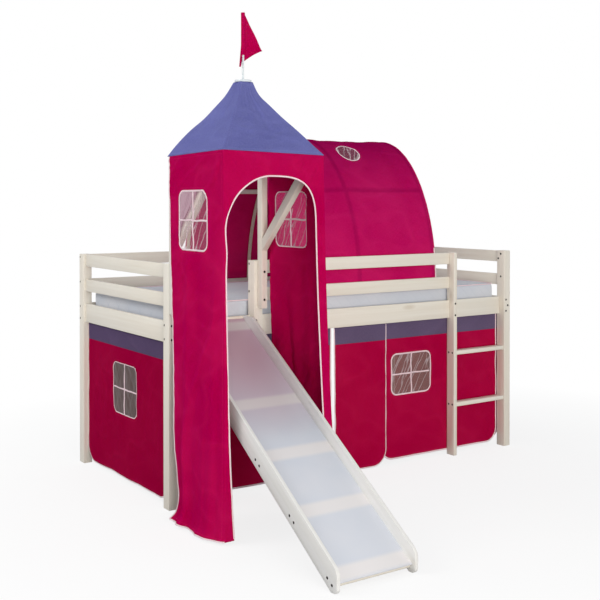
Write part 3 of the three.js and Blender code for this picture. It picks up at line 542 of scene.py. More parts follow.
for name, right, rear in [("front_left_post", 0, 0), ("front_right_post", 1, 0),
                          ("rear_left_post", 0, 1), ("rear_right_post", 1, 1)]:
    post, low, high = board_of(name)
    rail_x = low.x + 20
    rail_y = high.y - 9
    outer_x = high.x if right else low.x
    outer_y = high.y if rear else low.y
    heights = wide_bolts + (guard_bolts if rear else [])
    front_or_back, left_or_right = (0, 1 if rear else -1, 0), (1 if right else -1, 0, 0)
    soften(post)
    drill(post, [(rail_x - (0 if rear else 5), outer_y, z) for z in heights], front_or_back)
    drill(post, [(rail_x + 8, outer_y, wide_middle)], front_or_back)
    drill(post, [(outer_x, rail_y, z) for z in heights], left_or_right)
    if name == "front_right_post":
        drill(post, [(low.x, 27, 1052), (low.x, 46, 1026), (low.x, 27, 928)], (-1, 0, 0), depth=5)
    finish_board(post, [name], (0, 0, 1))
print("four posts drilled")

# %% Rails, guards and rungs
along_bed = ["front_side_rail", "rear_side_rail", "front_mid_guard", "rear_mid_guard",
             "front_top_guard", "rear_top_guard", "upper_rung", "lower_rung", "front_cleat",
             "rear_cleat"]
across_bed = [f"{side}_end_{level}" for side in ("left", "right")
              for level in ("rail", "mid_guard", "top_guard")]
for names, run in ((along_bed, (1, 0, 0)), (across_bed, (0, 1, 0))):
    for name in names:
        plain_board(name, run, 4 if "rung" in name else 2.6)
print("rails, guards, rungs and cleats:", len(along_bed) + len(across_bed))

# %% [markdown]
# ## Guard post and ladder post
# The guard post beside the slide stands on the wide rail and keeps a tongue in front of it. The
# ladder post is thinner, stands on the floor and is notched round the rail. Both are whole
# boards first, and then the place of the rail is taken out of them.

# %% Notched posts
def notched_post(name, notch_foot):
    post, low, high = board_of(name)
    soften(post)
    take_out(post, timber("notch", (low.x - 5, rail_box[0].y - 0.3, notch_foot),
                          (high.x + 5, high.y + 5, rail_box[1].z + 0.3)))
    return post, low, high


guard, low, high = notched_post("guard_post", box_of("guard_post")[0].z - 5)
drill(guard, [(low.x, rail_box[0].y + 9, z) for z in guard_bolts], (-1, 0, 0))
drill(guard, [(low.x + 11, 0, rail_box[1].z - 21)], (0, -1, 0))
finish_board(guard, ["guard_post"], (0, 0, 1))

ladder, low, high = notched_post("ladder_post", rail_box[0].z - 0.3)
drill(ladder, [((low.x + high.x) / 2, 0, z) for z in wide_bolts], (0, -1, 0))
rung_heights = [(box_of(name)[0].z + box_of(name)[1].z) / 2
                for name in ("upper_rung", "lower_rung")]
drill(ladder, [(low.x, y, z) for z in rung_heights for y in (14, 41)], (-1, 0, 0))
finish_board(ladder, ["ladder_post"], (0, 0, 1))
print("guard post and ladder post notched")

# %% [markdown]
# ## Bed base
# Fourteen slats lie on the cleats and two strips of webbing keep them apart. One slat is
# modelled, with its edges well rounded, and copied along the bed.

# %% Slats and webbing
low, high = box_of("slat_base")
slat_count, slat_width = 14, 60
slat_top = low.z + 18
slat = timber("slat", (low.x, low.y, low.z), (low.x + slat_width, high.y, slat_top))
soften(slat, 4, 3)
slats = [slat]
for step in range(1, slat_count):
    copy = slat.copy()
    copy.data = slat.data.copy()
    shift = (high.x - low.x - slat_width) * step / (slat_count - 1) / 1000
    copy.data.transform(Matrix.Translation((shift, 0, 0)))
    bpy.context.scene.collection.objects.link(copy)
    slats.append(copy)
finish_board(join("bed_slats", slats), ["slat_base"], (0, 1, 0))

bands = []
for back in (low.y + 145, high.y - 170):
    band = timber("band", (low.x, back, slat_top - 0.4), (high.x, back + 25, slat_top + 1.6))
    soften(band, 0.5, 1)
    bands.append(band)
finish_board(join("bed_webbing", bands), [], finish=webbing)
print(len(slats), "slats and", len(bands), "bands")

# %% [markdown]
# ## Slide
# Two cheeks hold a smooth white sheet that is carried by battens. A cheek is a parallelogram
# with its foot cut level, so it starts as one block and is bisected along the two edges of the
# slope. The toe's two corners are rounded with wide bevels, as a child's slide must be.

# %% Slide board finish
screw_reaches = (411, 646, 881, 1116, 8)
chute = Finish("slide_board")
chute_place = chute.place()
chute_along = chute.parts(chute_place)[1]
gloss = chute.noise(chute_place, 6.0, 2.0)
scratches = chute.noise(chute_place * (900.0, 7.0, 7.0), detail=2.0)
# Painted light: a lighter, warmer band over each batten, as light given back through the sheet.
painted_batten_light = None
for reach in screw_reaches:
    batten_line = (chute_along - at(0, -reach, 0).y).size()
    glow = batten_line.between(0.015, 0.034, 1.0, 0.0, "SMOOTHSTEP")
    painted_batten_light = glow if painted_batten_light is None else painted_batten_light + glow
chute_colour = chute.mix(gloss.between(0.3, 0.7), paint(197, 202, 212), paint(203, 206, 214))
# Painted shade and painted pink bounce light from the cloth at the board's upper end.
painted_cloth_bounce = chute_along.between(at(0, -580, 0).y, at(0, -160, 0).y)
chute_colour = chute.mix(painted_cloth_bounce, chute_colour, paint(201, 169, 186))
chute_colour = chute.mix(painted_batten_light * 0.8, chute_colour, paint(221, 217, 216))
chute.close(chute_colour, scratches * 0.16 + 0.24, scratches, 0.0001, specular_ior_level=0.35)
print("slide board: smooth, with the battens showing through as warm bands")

# %% Cheeks
edge_height, toe_height, slide_reach = 842, 81.5, 1160
slope = (edge_height - toe_height) / slide_reach
fall = math.atan(slope)
cheek_deep = 88 / math.cos(fall)
uphill = Vector((0, math.cos(fall), math.sin(fall)))
away = Vector((0, -math.sin(fall), math.cos(fall)))


def screw_spots(x):
    spots = []
    for reach in screw_reaches:
        for side in (-1, 1):
            y = -reach + side * 16.5 * math.cos(fall)
            spots.append((x, y, edge_height + slope * y - 63 / math.cos(fall)))
    return spots


def at_toe(edge):
    """Whether an edge runs across the cheek at its front end."""
    start, end = (vertex.co for vertex in edge.verts)
    toe = at(0, -slide_reach, 0).y
    return abs(start.x - end.x) > 0.004 and abs(start.y - toe) < 0.001 and abs(end.y - toe) < 0.001


for name, side in (("slide_left_cheek", -1), ("slide_right_cheek", 1)):
    cheek, low, high = board_of(name)
    slice_off(cheek, (0, 0, edge_height), away)
    slice_off(cheek, (0, 0, edge_height - cheek_deep), -away)
    pick_edges(cheek, at_toe)
    bpy.ops.mesh.bevel(offset=0.022, segments=6, affect="EDGES")
    done()
    soften(cheek, 2.0)
    outer = low.x if side < 0 else high.x
    drill(cheek, screw_spots(outer), (side, 0, 0), depth=5)
    finish_board(cheek, [name], uphill, cheek_paint)
print("two cheeks, falling", round(math.degrees(fall), 2), "degrees")

# %% Sliding sheet and its battens
def sloped(name, node, depth, thick, back, front, edge):
    """A board that lies under the cheeks' top edge: depth and thickness are square to the slope."""
    low, high = box_of(node)
    board = timber(name, low, high)
    for vertex in board.data.vertices:
        is_high = vertex.co.z > at(0, 0, (low.z + high.z) / 2).z
        is_back = vertex.co.y > at(0, (low.y + high.y) / 2, 0).y
        y = back if is_back else front
        start = at((vertex.co.x - bed_corner.x) * 1000, y, edge_height + slope * y)
        vertex.co = start - away * (depth + (0 if is_high else thick)) / 1000
    soften(board, edge)
    return board


sheet_depth = 48
foot_of_sheet = sheet_depth * math.sin(fall)
sheet_board = sloped("slide_sheet_board", "slide_sheet", sheet_depth, 5, 34 - foot_of_sheet,
                     -slide_reach + 15 - foot_of_sheet, 1.2)
finish_board(sheet_board, ["slide_sheet"], uphill, chute, "slide_board")
for number, reach in enumerate(screw_reaches, 1):
    middle_of_batten = -reach - 53 * math.sin(fall)
    half = 27.5 * math.cos(fall)
    batten = sloped(f"slide_batten_board_{number}", f"slide_batten_{number}", 53.3, 20,
                    middle_of_batten + half, middle_of_batten - half, 2)
    finish_board(batten, [f"slide_batten_{number}"])
print("sheet and", len(screw_reaches), "battens")

# %% [markdown]
# ## Tower frame
# Inside the cloth stand two uprights bolted to the bed, with arms and braces that hold out a
# square of bars. A mast on the crossing bar lifts the disc at the roof's top, and the flag's
# pole stands in the disc.

# %% Uprights, arms, bars and braces
brace_deep = 38
diagonal = Vector((0, 1, 1)).normalized()
for side in ("left", "right"):
    stile, low, high = board_of(f"tower_{side}_upright")
    soften(stile)
    drill(stile, [((low.x + high.x) / 2, low.y, low.z + up) for up in (40, 167)], (0, -1, 0))
    finish_board(stile, [f"tower_{side}_upright"], (0, 0, 1))
    brace, low, high = board_of(f"tower_{side}_brace")
    slice_off(brace, (0, high.y, low.z), -diagonal)
    slice_off(brace, (0, high.y, low.z + brace_deep * math.sqrt(2)), diagonal)
    soften(brace)
    finish_board(brace, [f"tower_{side}_brace"], (0, -1, 1))
for name, run in [("left_arm", (0, 1, 0)), ("right_arm", (0, 1, 0)), ("front_bar", (1, 0, 0)),
                  ("rear_bar", (1, 0, 0)), ("cross_bar", (0, 1, 0))]:
    plain_board("tower_" + name, run)
print("tower frame: two uprights, two braces and five bars")

# %% Mast, disc and pole
def turned(name, node, sides, edge):
    low, high = box_of(node)
    bar = round_bar((low + high) / 2, upright, high.x - low.x, high.z - low.z, sides)
    bar.name = name
    pick_edges(bar, lambda line: len(line.link_faces) == 2 and line.calc_face_angle() > 1)
    bpy.ops.mesh.bevel(offset=edge / 1000, segments=3, affect="EDGES")
    done()
    return bar


mast = turned("tower_mast_pole", "tower_mast", 32, 2)
disc = turned("roof_disc_turned", "roof_disc", 64, 3)
low, high = box_of("roof_disc")
mast_x, mast_y = (low.x + high.x) / 2, (low.y + high.y) / 2
take_out(disc, round_bar((mast_x, mast_y, high.z), upright, 9.6, 14, 32))
pole = turned("flag_pole_turned", "flag_pole", 24, 2)
for piece, node in ((mast, "tower_mast"), (disc, "roof_disc"), (pole, "flag_pole")):
    finish_board(piece, [node], (0, 0, 1), pine if piece == mast else top_paint)
print("mast, disc and pole turned")

# %% All bolt heads as one piece
bolts = join("bolt_heads", bolt_heads)
bpy.data.objects.remove(bolt)
dress(bolts, steel, 35)
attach(bolts, "bed_frame")
print("bolts:", len(bolt_heads))

# %% [markdown]
# ## Woven cloth
# The tower, the tunnel and the curtains are one plain-woven cotton in two colours. A plain
# weave is warp and weft threads crossing, so the finish multiplies two sine waves that follow
# the flat cloth, adds slubs where a thread is thicker, and lets the dye vary gently. Crease
# lines are painted lighter, as a painted highlight. The tunnel's pink is a lighter copy, painted
# light for sheen and for light through the thin cloth; the curtains' pink is a redder copy, and
# their lilac band a darker copy, painted shade under the rail. The sheets carry two attributes:
# "shade", painted shade where a hoop or batten lies under the tunnel cloth, where the tunnel
# curves over, where a curtain closes off the shaded den and where a pane looks into a shaded
# room, and "edge", the distance to the nearest edge, which places the stitching.

# %% Cloth finishes
def lighter(colour, times, more):
    return tuple(value * times + more for value in colour[:3]) + (1.0,)


def ridges(height, level, steep):
    """Thin lines where a soft noise passes one level."""
    return ((height - level).size() * -steep + 1.0).between(0.0, 1.0)


def woven(name, bright, deep, glow=(1.0, 0.35, 0.6), sheer=0.3):
    cloth = Finish(name)
    flat = cloth.flat_cut()
    across, along, _ = cloth.parts(flat)

    def noise_of(wide, tall, detail):
        return cloth.noise(flat * (wide, tall, 1.0), detail=detail)

    threads = (across * 3900.0).sine() * (along * 3900.0).sine()
    slubs = noise_of(60.0, 1100.0, 1.0) + noise_of(1100.0, 60.0, 1.0)
    mottle = noise_of(130.0, 130.0, 3.0)
    dye = noise_of(3.0, 3.0, 2.0)
    rumple = noise_of(7.0, 3.2, 2.5)
    crease = ridges(noise_of(3.0, 5.5, 1.5), 0.5, 16.0)
    shade = cloth.attribute("shade", "Fac")
    edge = cloth.attribute("edge", "Fac")
    row = ((edge - 0.0125).size() < 0.0006) * (((across + along) * 1250.0).sine() > -0.35)
    colour = cloth.mix(slubs.between(0.7, 1.3) * 0.7 + mottle.between(0.3, 0.7) * 0.3, deep, bright)
    # Random dye tone, and a painted highlight that makes the crease lines lighter.
    dye_and_crease_highlight = dye.between(0.36, 0.68) * 0.34 + crease * 0.16
    colour = cloth.mix(dye_and_crease_highlight, colour, lighter(bright, 1.16, 0.012))
    # Painted shade: the shade attribute mixes the colour towards a darker, bluer tone.
    red, green, blue = (value * 0.5 for value in deep[:3])
    colour = cloth.mix(shade, colour, (red * 0.9, green * 0.6, blue * 1.15, 1.0))
    colour = cloth.mix(row * 0.45, colour, lighter(bright, 1.5, 0.05))
    height = threads * 0.35 + slubs * 0.5 - row * 1.2 + rumple * 9.0 + crease * 3.0
    cloth.close(colour, mottle * 0.2 + 0.75, height, 0.0005, specular_ior_level=0.0,
                subsurface_weight=sheer, subsurface_scale=0.006, subsurface_radius=glow)
    return cloth


pink = woven("pink_cloth", paint(194, 0, 84), paint(166, 0, 68), sheer=0.45)
# Painted light: a lighter, paler copy of the pink for sheen and light through the thin tunnel.
lit_tunnel_pink = woven("tunnel_cloth", paint(206, 24, 104), paint(181, 2, 84))
curtain_pink = woven("curtain_cloth", paint(196, 10, 74), paint(176, 0, 58))
lilac = woven("lilac_cloth", paint(116, 120, 182), paint(94, 96, 156), (0.6, 0.6, 1.0))
# Painted shade: a darker, greyer lilac for the curtains' band, with painted pink bounce light.
shaded_lilac_band = woven("shaded_lilac_band", paint(118, 102, 132), paint(98, 86, 112), (0.8, 0.7, 1.0))
piping = woven("pale_piping", paint(250, 226, 231), paint(238, 208, 216), (1.0, 0.9, 0.95))
print("six woven finishes")

# %% Clear vinyl of the windows
def clear_vinyl(name, plain, crease, cover, dim):
    vinyl = Finish(name)
    vinyl_flat = vinyl.flat_cut()
    crumple = vinyl.noise(vinyl_flat * (26.0, 9.0, 1.0), detail=3.0)
    slanted = vinyl.add("ShaderNodeMapping", {}, {"Vector": vinyl_flat, "Rotation": (0, 0, -1.1)})
    folds = vinyl.noise(slanted * (3.2, 27.0, 1.0), detail=1.0) + crumple * 0.2
    streak = ridges(folds, 0.64, 22.0)
    # Painted shade: the shade attribute turns the pane to a shaded colour and makes it less clear.
    behind = vinyl.attribute("shade", "Fac")
    glass = vinyl.mix(behind, vinyl.mix(streak, plain, crease), dim)
    vinyl.close(glass, crumple * 0.2 + 0.28, folds + crumple, 0.0012,
                alpha=streak * 0.34 + cover + behind * 0.75, specular_ior_level=0.12)
    return vinyl


vinyl = clear_vinyl("clear_vinyl", paint(186, 142, 138), paint(226, 206, 210), 0.2,
                    paint(66, 50, 48))
# The rosy pane's shaded colour is a pink: painted shade for the pink cloth seen through it.
rosy_vinyl = clear_vinyl("rosy_vinyl", paint(206, 158, 176), paint(238, 222, 228), 0.1,
                         paint(150, 52, 100))
print("two vinyls ready")

# %% [markdown]
# ## Sheets of cloth
# A sheet is kept as what it is: a flat cut with a width and a height, and a rule that says
# where each flat place hangs in the room. A grid is added flat, the points nearest to a window
# move onto its outline, every point is hung, and the points inside the window are deleted. The
# UV map keeps the flat cut, so the weave is never stretched, and a Solidify modifier gives the
# thickness.

# %% Outlines of windows and round corners
def outline_of(frame_box, u, v):
    """How far a flat place is outside a rounded box, and the nearest place on its outline."""
    left, foot, wide, tall, radius = frame_box
    across, up = u - left - wide / 2, v - foot - tall / 2
    side_x, side_y = math.copysign(1, across), math.copysign(1, up)
    x, y = abs(across) - wide / 2 + radius, abs(up) - tall / 2 + radius
    if x > 0 and y > 0:
        reach = math.hypot(x, y)
        distance = reach - radius
        x, y = x / reach * radius, y / reach * radius
    elif x > y:
        distance, x = x - radius, radius
    else:
        distance, y = y - radius, radius
    return distance, (left + wide / 2 + side_x * (wide / 2 - radius + x),
                      foot + tall / 2 + side_y * (tall / 2 - radius + y))


def round_outline(frame_box, steps=10):
    left, foot, wide, tall, radius = frame_box
    near, far = left + radius, left + wide - radius
    low, high = foot + radius, foot + tall - radius
    path = []
    for quarter, (x, y) in enumerate([(far, high), (near, high), (near, low), (far, low)]):
        for step in range(steps + 1):
            turn = (quarter + step / steps) * math.pi / 2
            path.append((x + radius * math.cos(turn), y + radius * math.sin(turn)))
    return [place for place, after in zip(path, path[1:] + path[:1])
            if math.dist(place, after) > 0.01]


def along_path(path, pitch, closed):
    """The same path with places about a pitch apart."""
    stops = path + path[:1] if closed else path
    places = []
    for start, end in zip(stops, stops[1:]):
        steps = max(1, round(math.dist(start, end) / pitch))
        places += [tuple(a + (b - a) * step / steps for a, b in zip(start, end))
                   for step in range(steps)]
    return places if closed else places + [stops[-1]]


print("a round window has", len(round_outline((0, 0, 130, 130, 65))), "corner places")

# %% A sheet and how it hangs
def square_to(rule, out, u, v, left, right, low, high):
    """The direction square to a hung sheet at a flat place, on the side that out points to."""
    across = Vector(rule(right, v)) - Vector(rule(left, v))
    up = Vector(rule(u, high)) - Vector(rule(u, low))
    facing = across.cross(up).normalized()
    return -facing if facing.dot(Vector(out(u, v))) < 0 else facing


class Cloth:
    def __init__(self, wide, tall, hang, out, windows=(), trim=None, flat=None, shade=None):
        self.wide, self.tall = wide, tall
        self.hang, self.out = hang, out
        self.windows = list(windows)
        self.trim = trim
        self.flat = flat or (lambda u, v: (u, v))
        self.shade = shade or (lambda u, v: 0.0)

    def facing(self, u, v):
        return square_to(self.hang, self.out, u, v, max(u - 2.5, 0), min(u + 2.5, self.wide),
                         max(v - 2.5, 0), min(v + 2.5, self.tall))


def pointing(*way):
    """A rule that gives one direction for the whole sheet."""
    return lambda u, v: way


def wrinkled(base, out, wrinkle):
    """A rule that hangs a sheet by its base rule and then moves it out by its wrinkles."""
    def hang(u, v):
        facing = square_to(base, out, u, v, u - 2, u + 2, v - 2, v + 2)
        return Vector(base(u, v)) + facing * wrinkle(u, v)
    return hang


print("a sheet knows how it hangs")

# %% Creases
def unit(value):
    """A value kept from 0 to 1."""
    return max(0, min(1, value))


def bumps(x, y, z):
    """Smooth noise about zero, which is the same at every run."""
    return noise.noise(Vector((x, y, z)))


def fold(u, v, turn, pitch, length, seed):
    """Soft creases about a pitch apart that run at an angle, from -1 to 1."""
    c, s = math.cos(turn), math.sin(turn)
    return 2 * bumps((u * c + v * s) / length, (v * c - u * s) / pitch, seed)


print("a crease at one place is", round(fold(50, 80, 0.5, 30, 190, 1), 3), "deep")

# %% The flat cut of a sheet
snap_share = 0.55


def grid_piece(name, columns, rows):
    bpy.ops.object.select_all(action="DESELECT")
    bpy.ops.mesh.primitive_grid_add(x_subdivisions=columns, y_subdivisions=rows, size=1)
    piece = bpy.context.object
    piece.name = name
    return piece


def cut_place(cloth, cell, u, v):
    """A point's place on the cut, whether a window takes it, and its distance from an edge."""
    edge = min(u, cloth.wide - u, v, cloth.tall - v)
    if cloth.trim:
        outside, nearest = outline_of(cloth.trim, u, v)
        u, v = nearest if outside > 0 else (u, v)
        edge = max(-outside, 0)
    inside = False
    for window in cloth.windows:
        distance, nearest = outline_of(window, u, v)
        inside = inside or distance < -cell * snap_share
        if abs(distance) <= cell * snap_share:
            u, v = nearest
        edge = min(edge, max(distance, 0))
    return (u, v), inside, edge / 1000


print("a grid point moves onto a window's outline from", snap_share, "of a cell away")

# %% Hanging a sheet
def open_windows(piece, lost, way):
    """Deletes the lost points, and turns the faces to the side that way points to."""
    edit(piece, everything=False)
    model = bmesh.from_edit_mesh(piece.data)
    cut_away = [vertex for vertex, gone in zip(model.verts, lost) if gone]
    bmesh.ops.delete(model, geom=cut_away, context="VERTS")
    model.normal_update()
    model.faces.ensure_lookup_table()
    facing_in = model.faces[len(model.faces) // 2].normal.dot(Vector(way)) < 0
    bmesh.update_edit_mesh(piece.data)
    if facing_in:
        bpy.ops.mesh.select_all(action="SELECT")
        bpy.ops.mesh.flip_normals()
    done()


def hang_sheet(name, cloth, cell=8.0, columns=None, rows=None, lines=(), finish=pink):
    columns = columns or max(2, round(cloth.wide / cell))
    rows = rows or max(2, round(cloth.tall / cell))
    piece = grid_piece(name, columns, rows)
    mesh = piece.data
    cell = max(cloth.wide / columns, cloth.tall / rows)
    cuts = []
    for vertex in mesh.vertices:
        u, v = (vertex.co.x + 0.5) * cloth.wide, (vertex.co.y + 0.5) * cloth.tall
        for line in lines:
            v = line if abs(v - line) <= cloth.tall / rows / 2 else v
        cuts.append(cut_place(cloth, cell, u, v))
    places, lost, edges = zip(*cuts)
    shade = mesh.attributes.new("shade", "FLOAT", "POINT")
    edge_of = mesh.attributes.new("edge", "FLOAT", "POINT")
    for vertex, place, edge in zip(mesh.vertices, places, edges):
        vertex.co = at(*cloth.hang(*place))
        shade.data[vertex.index].value = cloth.shade(*place)
        edge_of.data[vertex.index].value = edge
    layer = mesh.uv_layers.active
    layer.name = "flat"
    for loop in mesh.loops:
        flat = cloth.flat(*places[loop.vertex_index])
        layer.data[loop.index].uv = (flat[0] / 1000, flat[1] / 1000)
    open_windows(piece, lost, cloth.out(*places[len(places) // 2]))
    mesh.materials.append(finish.material)
    return piece


print("sheets can be cut and hung")

# %% Area, thickness and seams
def flat_area(piece):
    """The cloth's own area in square metres, from its UV map."""
    layer = piece.data.uv_layers["flat"].data
    area = 0
    for face in piece.data.polygons:
        corners = [layer[index].uv for index in face.loop_indices]
        sides = zip(corners, corners[1:] + corners[:1])
        area += abs(sum(a.x * b.y - b.x * a.y for a, b in sides)) / 2
    return area


def thicken(piece, thick):
    modifier = piece.modifiers.new("cloth thickness", "SOLIDIFY")
    modifier.thickness = thick / 1000
    modifier.offset = 0
    alone(piece)
    bpy.ops.object.shade_smooth_by_angle(angle=math.radians(50))


def finish_sheet(piece, body, slot, *nodes, thick=1.6):
    """Thickens a sheet and hands it over; gives back the cloth's own area."""
    area = flat_area(piece)
    thicken(piece, thick)
    hand_over(piece, body, slot, *nodes)
    return area


def sewn(name, panels, gap):
    """Joins panels and welds the places along their seams that are less than a gap apart."""
    sheet = join(name, panels)
    edit(sheet)
    bpy.ops.mesh.remove_doubles(threshold=gap)
    done()
    return sheet


print("sheets can be measured, thickened and sewn")

# %% Tape along a path
def bind(cloth, path, wide, thick=3.2, closed=False, proud=0.6, pitch=9.0):
    """A flat tape that follows a path on a sheet, rounded in section, as a tube of eight sides."""
    path = along_path(path, pitch, closed)
    count, sides = len(path), 8
    places, flats = [], []
    length = 0.0
    for index, (u, v) in enumerate(path):
        after = path[(index + 1) % count if closed else min(index + 1, count - 1)]
        before = path[(index - 1) % count if closed else max(index - 1, 0)]
        centre = Vector(cloth.hang(u, v))
        run = (Vector(cloth.hang(*after)) - Vector(cloth.hang(*before))).normalized()
        out = cloth.facing(u, v)
        side = run.cross(out).normalized()
        length += (centre - Vector(cloth.hang(*before))).length if index else 0
        for step in range(sides):
            turn = 2 * math.pi * step / sides
            offset = side * math.cos(turn) * wide / 2 + out * (math.sin(turn) * thick / 2 + proud)
            places.append(at(*(centre + offset)))
            flats.append((length / 1000, step / sides * 0.012))
    faces = []
    for index in range(count if closed else count - 1):
        after = (index + 1) % count
        for step in range(sides):
            turn = (step + 1) % sides
            faces.append([index * sides + step, index * sides + turn,
                          after * sides + turn, after * sides + step])
    if not closed:
        faces += [list(range(sides)), [(count - 1) * sides + step for step in range(sides)]]
    mesh = bpy.data.meshes.new("tape")
    mesh.from_pydata(places, [], faces)
    layer = mesh.uv_layers.new(name="flat")
    for loop in mesh.loops:
        layer.data[loop.index].uv = flats[loop.vertex_index]
    tape = bpy.data.objects.new("tape", mesh)
    bpy.context.scene.collection.objects.link(tape)
    edit(tape)
    bpy.ops.mesh.normals_make_consistent(inside=False)
    done()
    return tape


print("tape can follow a path on a sheet")

# %% Piping and clear windows
def trimmed(name, tapes, body, finish=piping):
    tape = join(name, tapes)
    dress(tape, finish, 60)
    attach(tape, body)
    return tape


def glaze(name, cloth, window, body, seed, dim=lambda u, v: 0.0, finish=vinyl):
    """A crumpled pane and the tapes round and across it; dim gives the painted shade of the room
    behind it.
    """
    left, foot, wide, tall, radius = window

    def crumpled(u, v):
        deep = 1.1 * fold(u, v, 1.1, 30, 160, seed) + 0.5 * fold(u, v, 0.7, 18, 90, seed + 3)
        ease = unit(min(u / 20, (wide - u) / 20, v / 20, (tall - v) / 20))
        out = cloth.facing(left + u, foot + v)
        return Vector(cloth.hang(left + u, foot + v)) + out * deep * ease

    pane_cloth = Cloth(wide, tall, crumpled, cloth.out, trim=(0, 0, wide, tall, radius), shade=dim)
    pane = hang_sheet(name + "_pane", pane_cloth, finish=finish)
    thicken(pane, 0.5)
    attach(pane, body)
    has_cross = radius < wide / 3
    tapes = [bind(cloth, round_outline(window), wide=8 if has_cross else 6, closed=True)]
    if has_cross:
        middle_u, middle_v = left + wide / 2, foot + tall / 2
        paths = [[(middle_u + 9 * bumps(0, v / 60, seed), foot + v)
                  for v in range(0, int(tall) + 1, 12)],
                 [(left + u, middle_v + 3 * bumps(u / 60, 0, seed + 5))
                  for u in range(0, int(wide) + 1, 12)]]
        tapes += [bind(cloth, path, wide=8, thick=5, proud=0) for path in paths]
    return pane, tapes


print("tape, piping and windows ready")

# %% [markdown]
# ## Tower cloth
# The tower's skirt is one long sheet: the left side, the front with its arched doorway and the
# right side, sewn together at the corners. Each side hangs from the bars, is pulled smooth near
# the top and swings out over the floor at its hem. Creases fan out from the front corners, where
# the weight hangs, and long soft folds run down the lower half.

# %% Sizes of the tower, and smooth curves
tower_wide, tower_deep = 480.0, -box_of("tower_front_bar")[0].y
hem, eave = (corner.z for corner in box_of("tower_left_wall"))
wall_tall = eave - hem
rear_swing = [(0, 0.94, 0.77), (0.02, 0.6, 0.9), (0.06, 0.42, 0.94), (0.1, 0.4, 0.9),
              (0.21, 0.32, 0.63), (0.32, 0.25, 0.53), (0.48, 0.1, 0.3), (0.7, 0.02, 0.08),
              (1, 0, 0)]
bar_gap = 1.8


def mix(first, second, share):
    return first + (second - first) * share


def read_table(rows, value):
    """A smooth curve through the rows of a table, read at one value."""
    last = len(rows) - 1
    index = next((i for i in range(last) if rows[i + 1][0] >= value), last - 1)
    before, start, end, after = (rows[max(0, min(last, index + step))] for step in (-1, 0, 1, 2))
    t = unit((value - start[0]) / (end[0] - start[0]))
    result = []
    for column in range(1, len(start)):
        rise = end[column] - start[column]
        slope_in = (end[column] - before[column]) / (end[0] - before[0]) * (end[0] - start[0])
        slope_out = (after[column] - start[column]) / (after[0] - start[0]) * (end[0] - start[0])
        result.append(start[column] + t * slope_in + t * t * (3 * rise - 2 * slope_in - slope_out)
                      + t ** 3 * (slope_in + slope_out - 2 * rise))
    return result


print("the rear edge swings by", [round(share, 3) for share in read_table(rear_swing, 0.25)])

# %% How the sides hang
def fullness(share, power=1.6):
    return max(0, 1 - share) ** power


def front_y(share):
    return -tower_deep - bar_gap - 42 * (1 - share)


def eave_lift(x, y, share):
    """The seam under the roof is pulled up towards the front left corner."""
    return 12 * max(0, 1 - math.hypot(x, y + tower_deep) / 480) * unit(share) ** 16


def corner_x(side, share):
    if side < 0:
        return -bar_gap - 18 * fullness(share)
    return tower_wide + bar_gap + 48 * fullness(share, 2.6)


def side_rule(side, wide, rear_gap, swing):
    def base(u, v):
        along, share = u / wide, v / wall_tall
        out, forward = read_table(rear_swing, share)
        rear_x = side * (swing * out + bar_gap) + (tower_wide if side > 0 else 0)
        rear_y = -rear_gap - 150 * forward * swing / 66
        bulge = 38 * fullness(share, 2.4) * math.sin(math.pi * unit(along) ** 1.8)
        bulge -= 15 * fullness(share, 6) * math.exp(-((along - 0.42) / 0.12) ** 2)
        deep = 0.5 + bumps(along * 3.4, share * 1.6, side + 2.5)
        folds = 9 * fullness(share, 1.2) * deep * max(0, math.sin(math.pi * along)) ** 0.5
        x = mix(rear_x, corner_x(side, share), along) + side * (bulge + folds)
        y = mix(rear_y, front_y(share), along)
        return Vector((x, y, hem + v + eave_lift(x, y, share)))
    return base


print("the front stands", round(-front_y(0)), "mm before the bed at its hem")

# %% Creases of the sides, and the two sides
def corner_fan(across, down, seed):
    """Creases that fan out from a top corner and fade away from it."""
    reach = math.hypot(across, down)
    turn = math.atan2(down, across)
    wave = math.sin(9 * turn + 2.2 * bumps(reach / 160, turn * 2, seed))
    return wave * math.exp(-reach / 420) * min(1, reach / 90)


ridge_line = [(0, 0.27), (0.155, 0.24), (0.36, 0.44), (0.54, 0.81), (1, 1)]


def side_wrinkles(side, wide, seed):
    def wrinkle(u, v):
        down, across = wall_tall - v, wide - u
        low = fullness(v / wall_tall, 0.8)
        ease = min(1, across / 45) * min(1, down / 30)
        size = 7.0 * corner_fan(across, down, seed)
        size += (3.0 + 5.0 * low) * fold(v, u, 0.05, 75, 900, seed + 7)
        near_top = 0.4 + 0.6 * math.exp(-down / 500)
        size += 2.6 * fold(u, v, 0.65 + 0.5 * low, 30, 190, seed + 13) * near_top
        ridge = read_table(ridge_line, v / wall_tall)[0] if side < 0 else 0.3
        from_ridge = (u / wide - ridge) * wide / 24
        size += 11 * math.exp(-from_ridge ** 2) * unit((down - 500) / 300)
        size = size * max(0, ease) + 2.2 * math.exp(-((across - 26) / 18) ** 2) * min(1, down / 60)
        return max(size, -0.5 - max(0, down - 450) / 12)
    return wrinkle


window_wide, window_tall, window_radius = 240, 244, 34


def side_wall(side, rear_gap, swing):
    wide = tower_deep + bar_gap - rear_gap
    out = pointing(side, 0, 0)
    wrinkles = side_wrinkles(side, wide, 10 * side)
    window = (100 - rear_gap, 1140 - hem, window_wide, window_tall, window_radius)
    shift = wide + tower_wide + 2 * bar_gap
    return Cloth(wide, wall_tall, wrinkled(side_rule(side, wide, rear_gap, swing), out, wrinkles),
                 out, [window], flat=None if side < 0 else lambda u, v: (shift + wide - u, v))


side_walls = {"left": side_wall(-1, 12, 66), "right": side_wall(1, 42, 33)}
print("two sides", round(wall_tall), "mm tall")

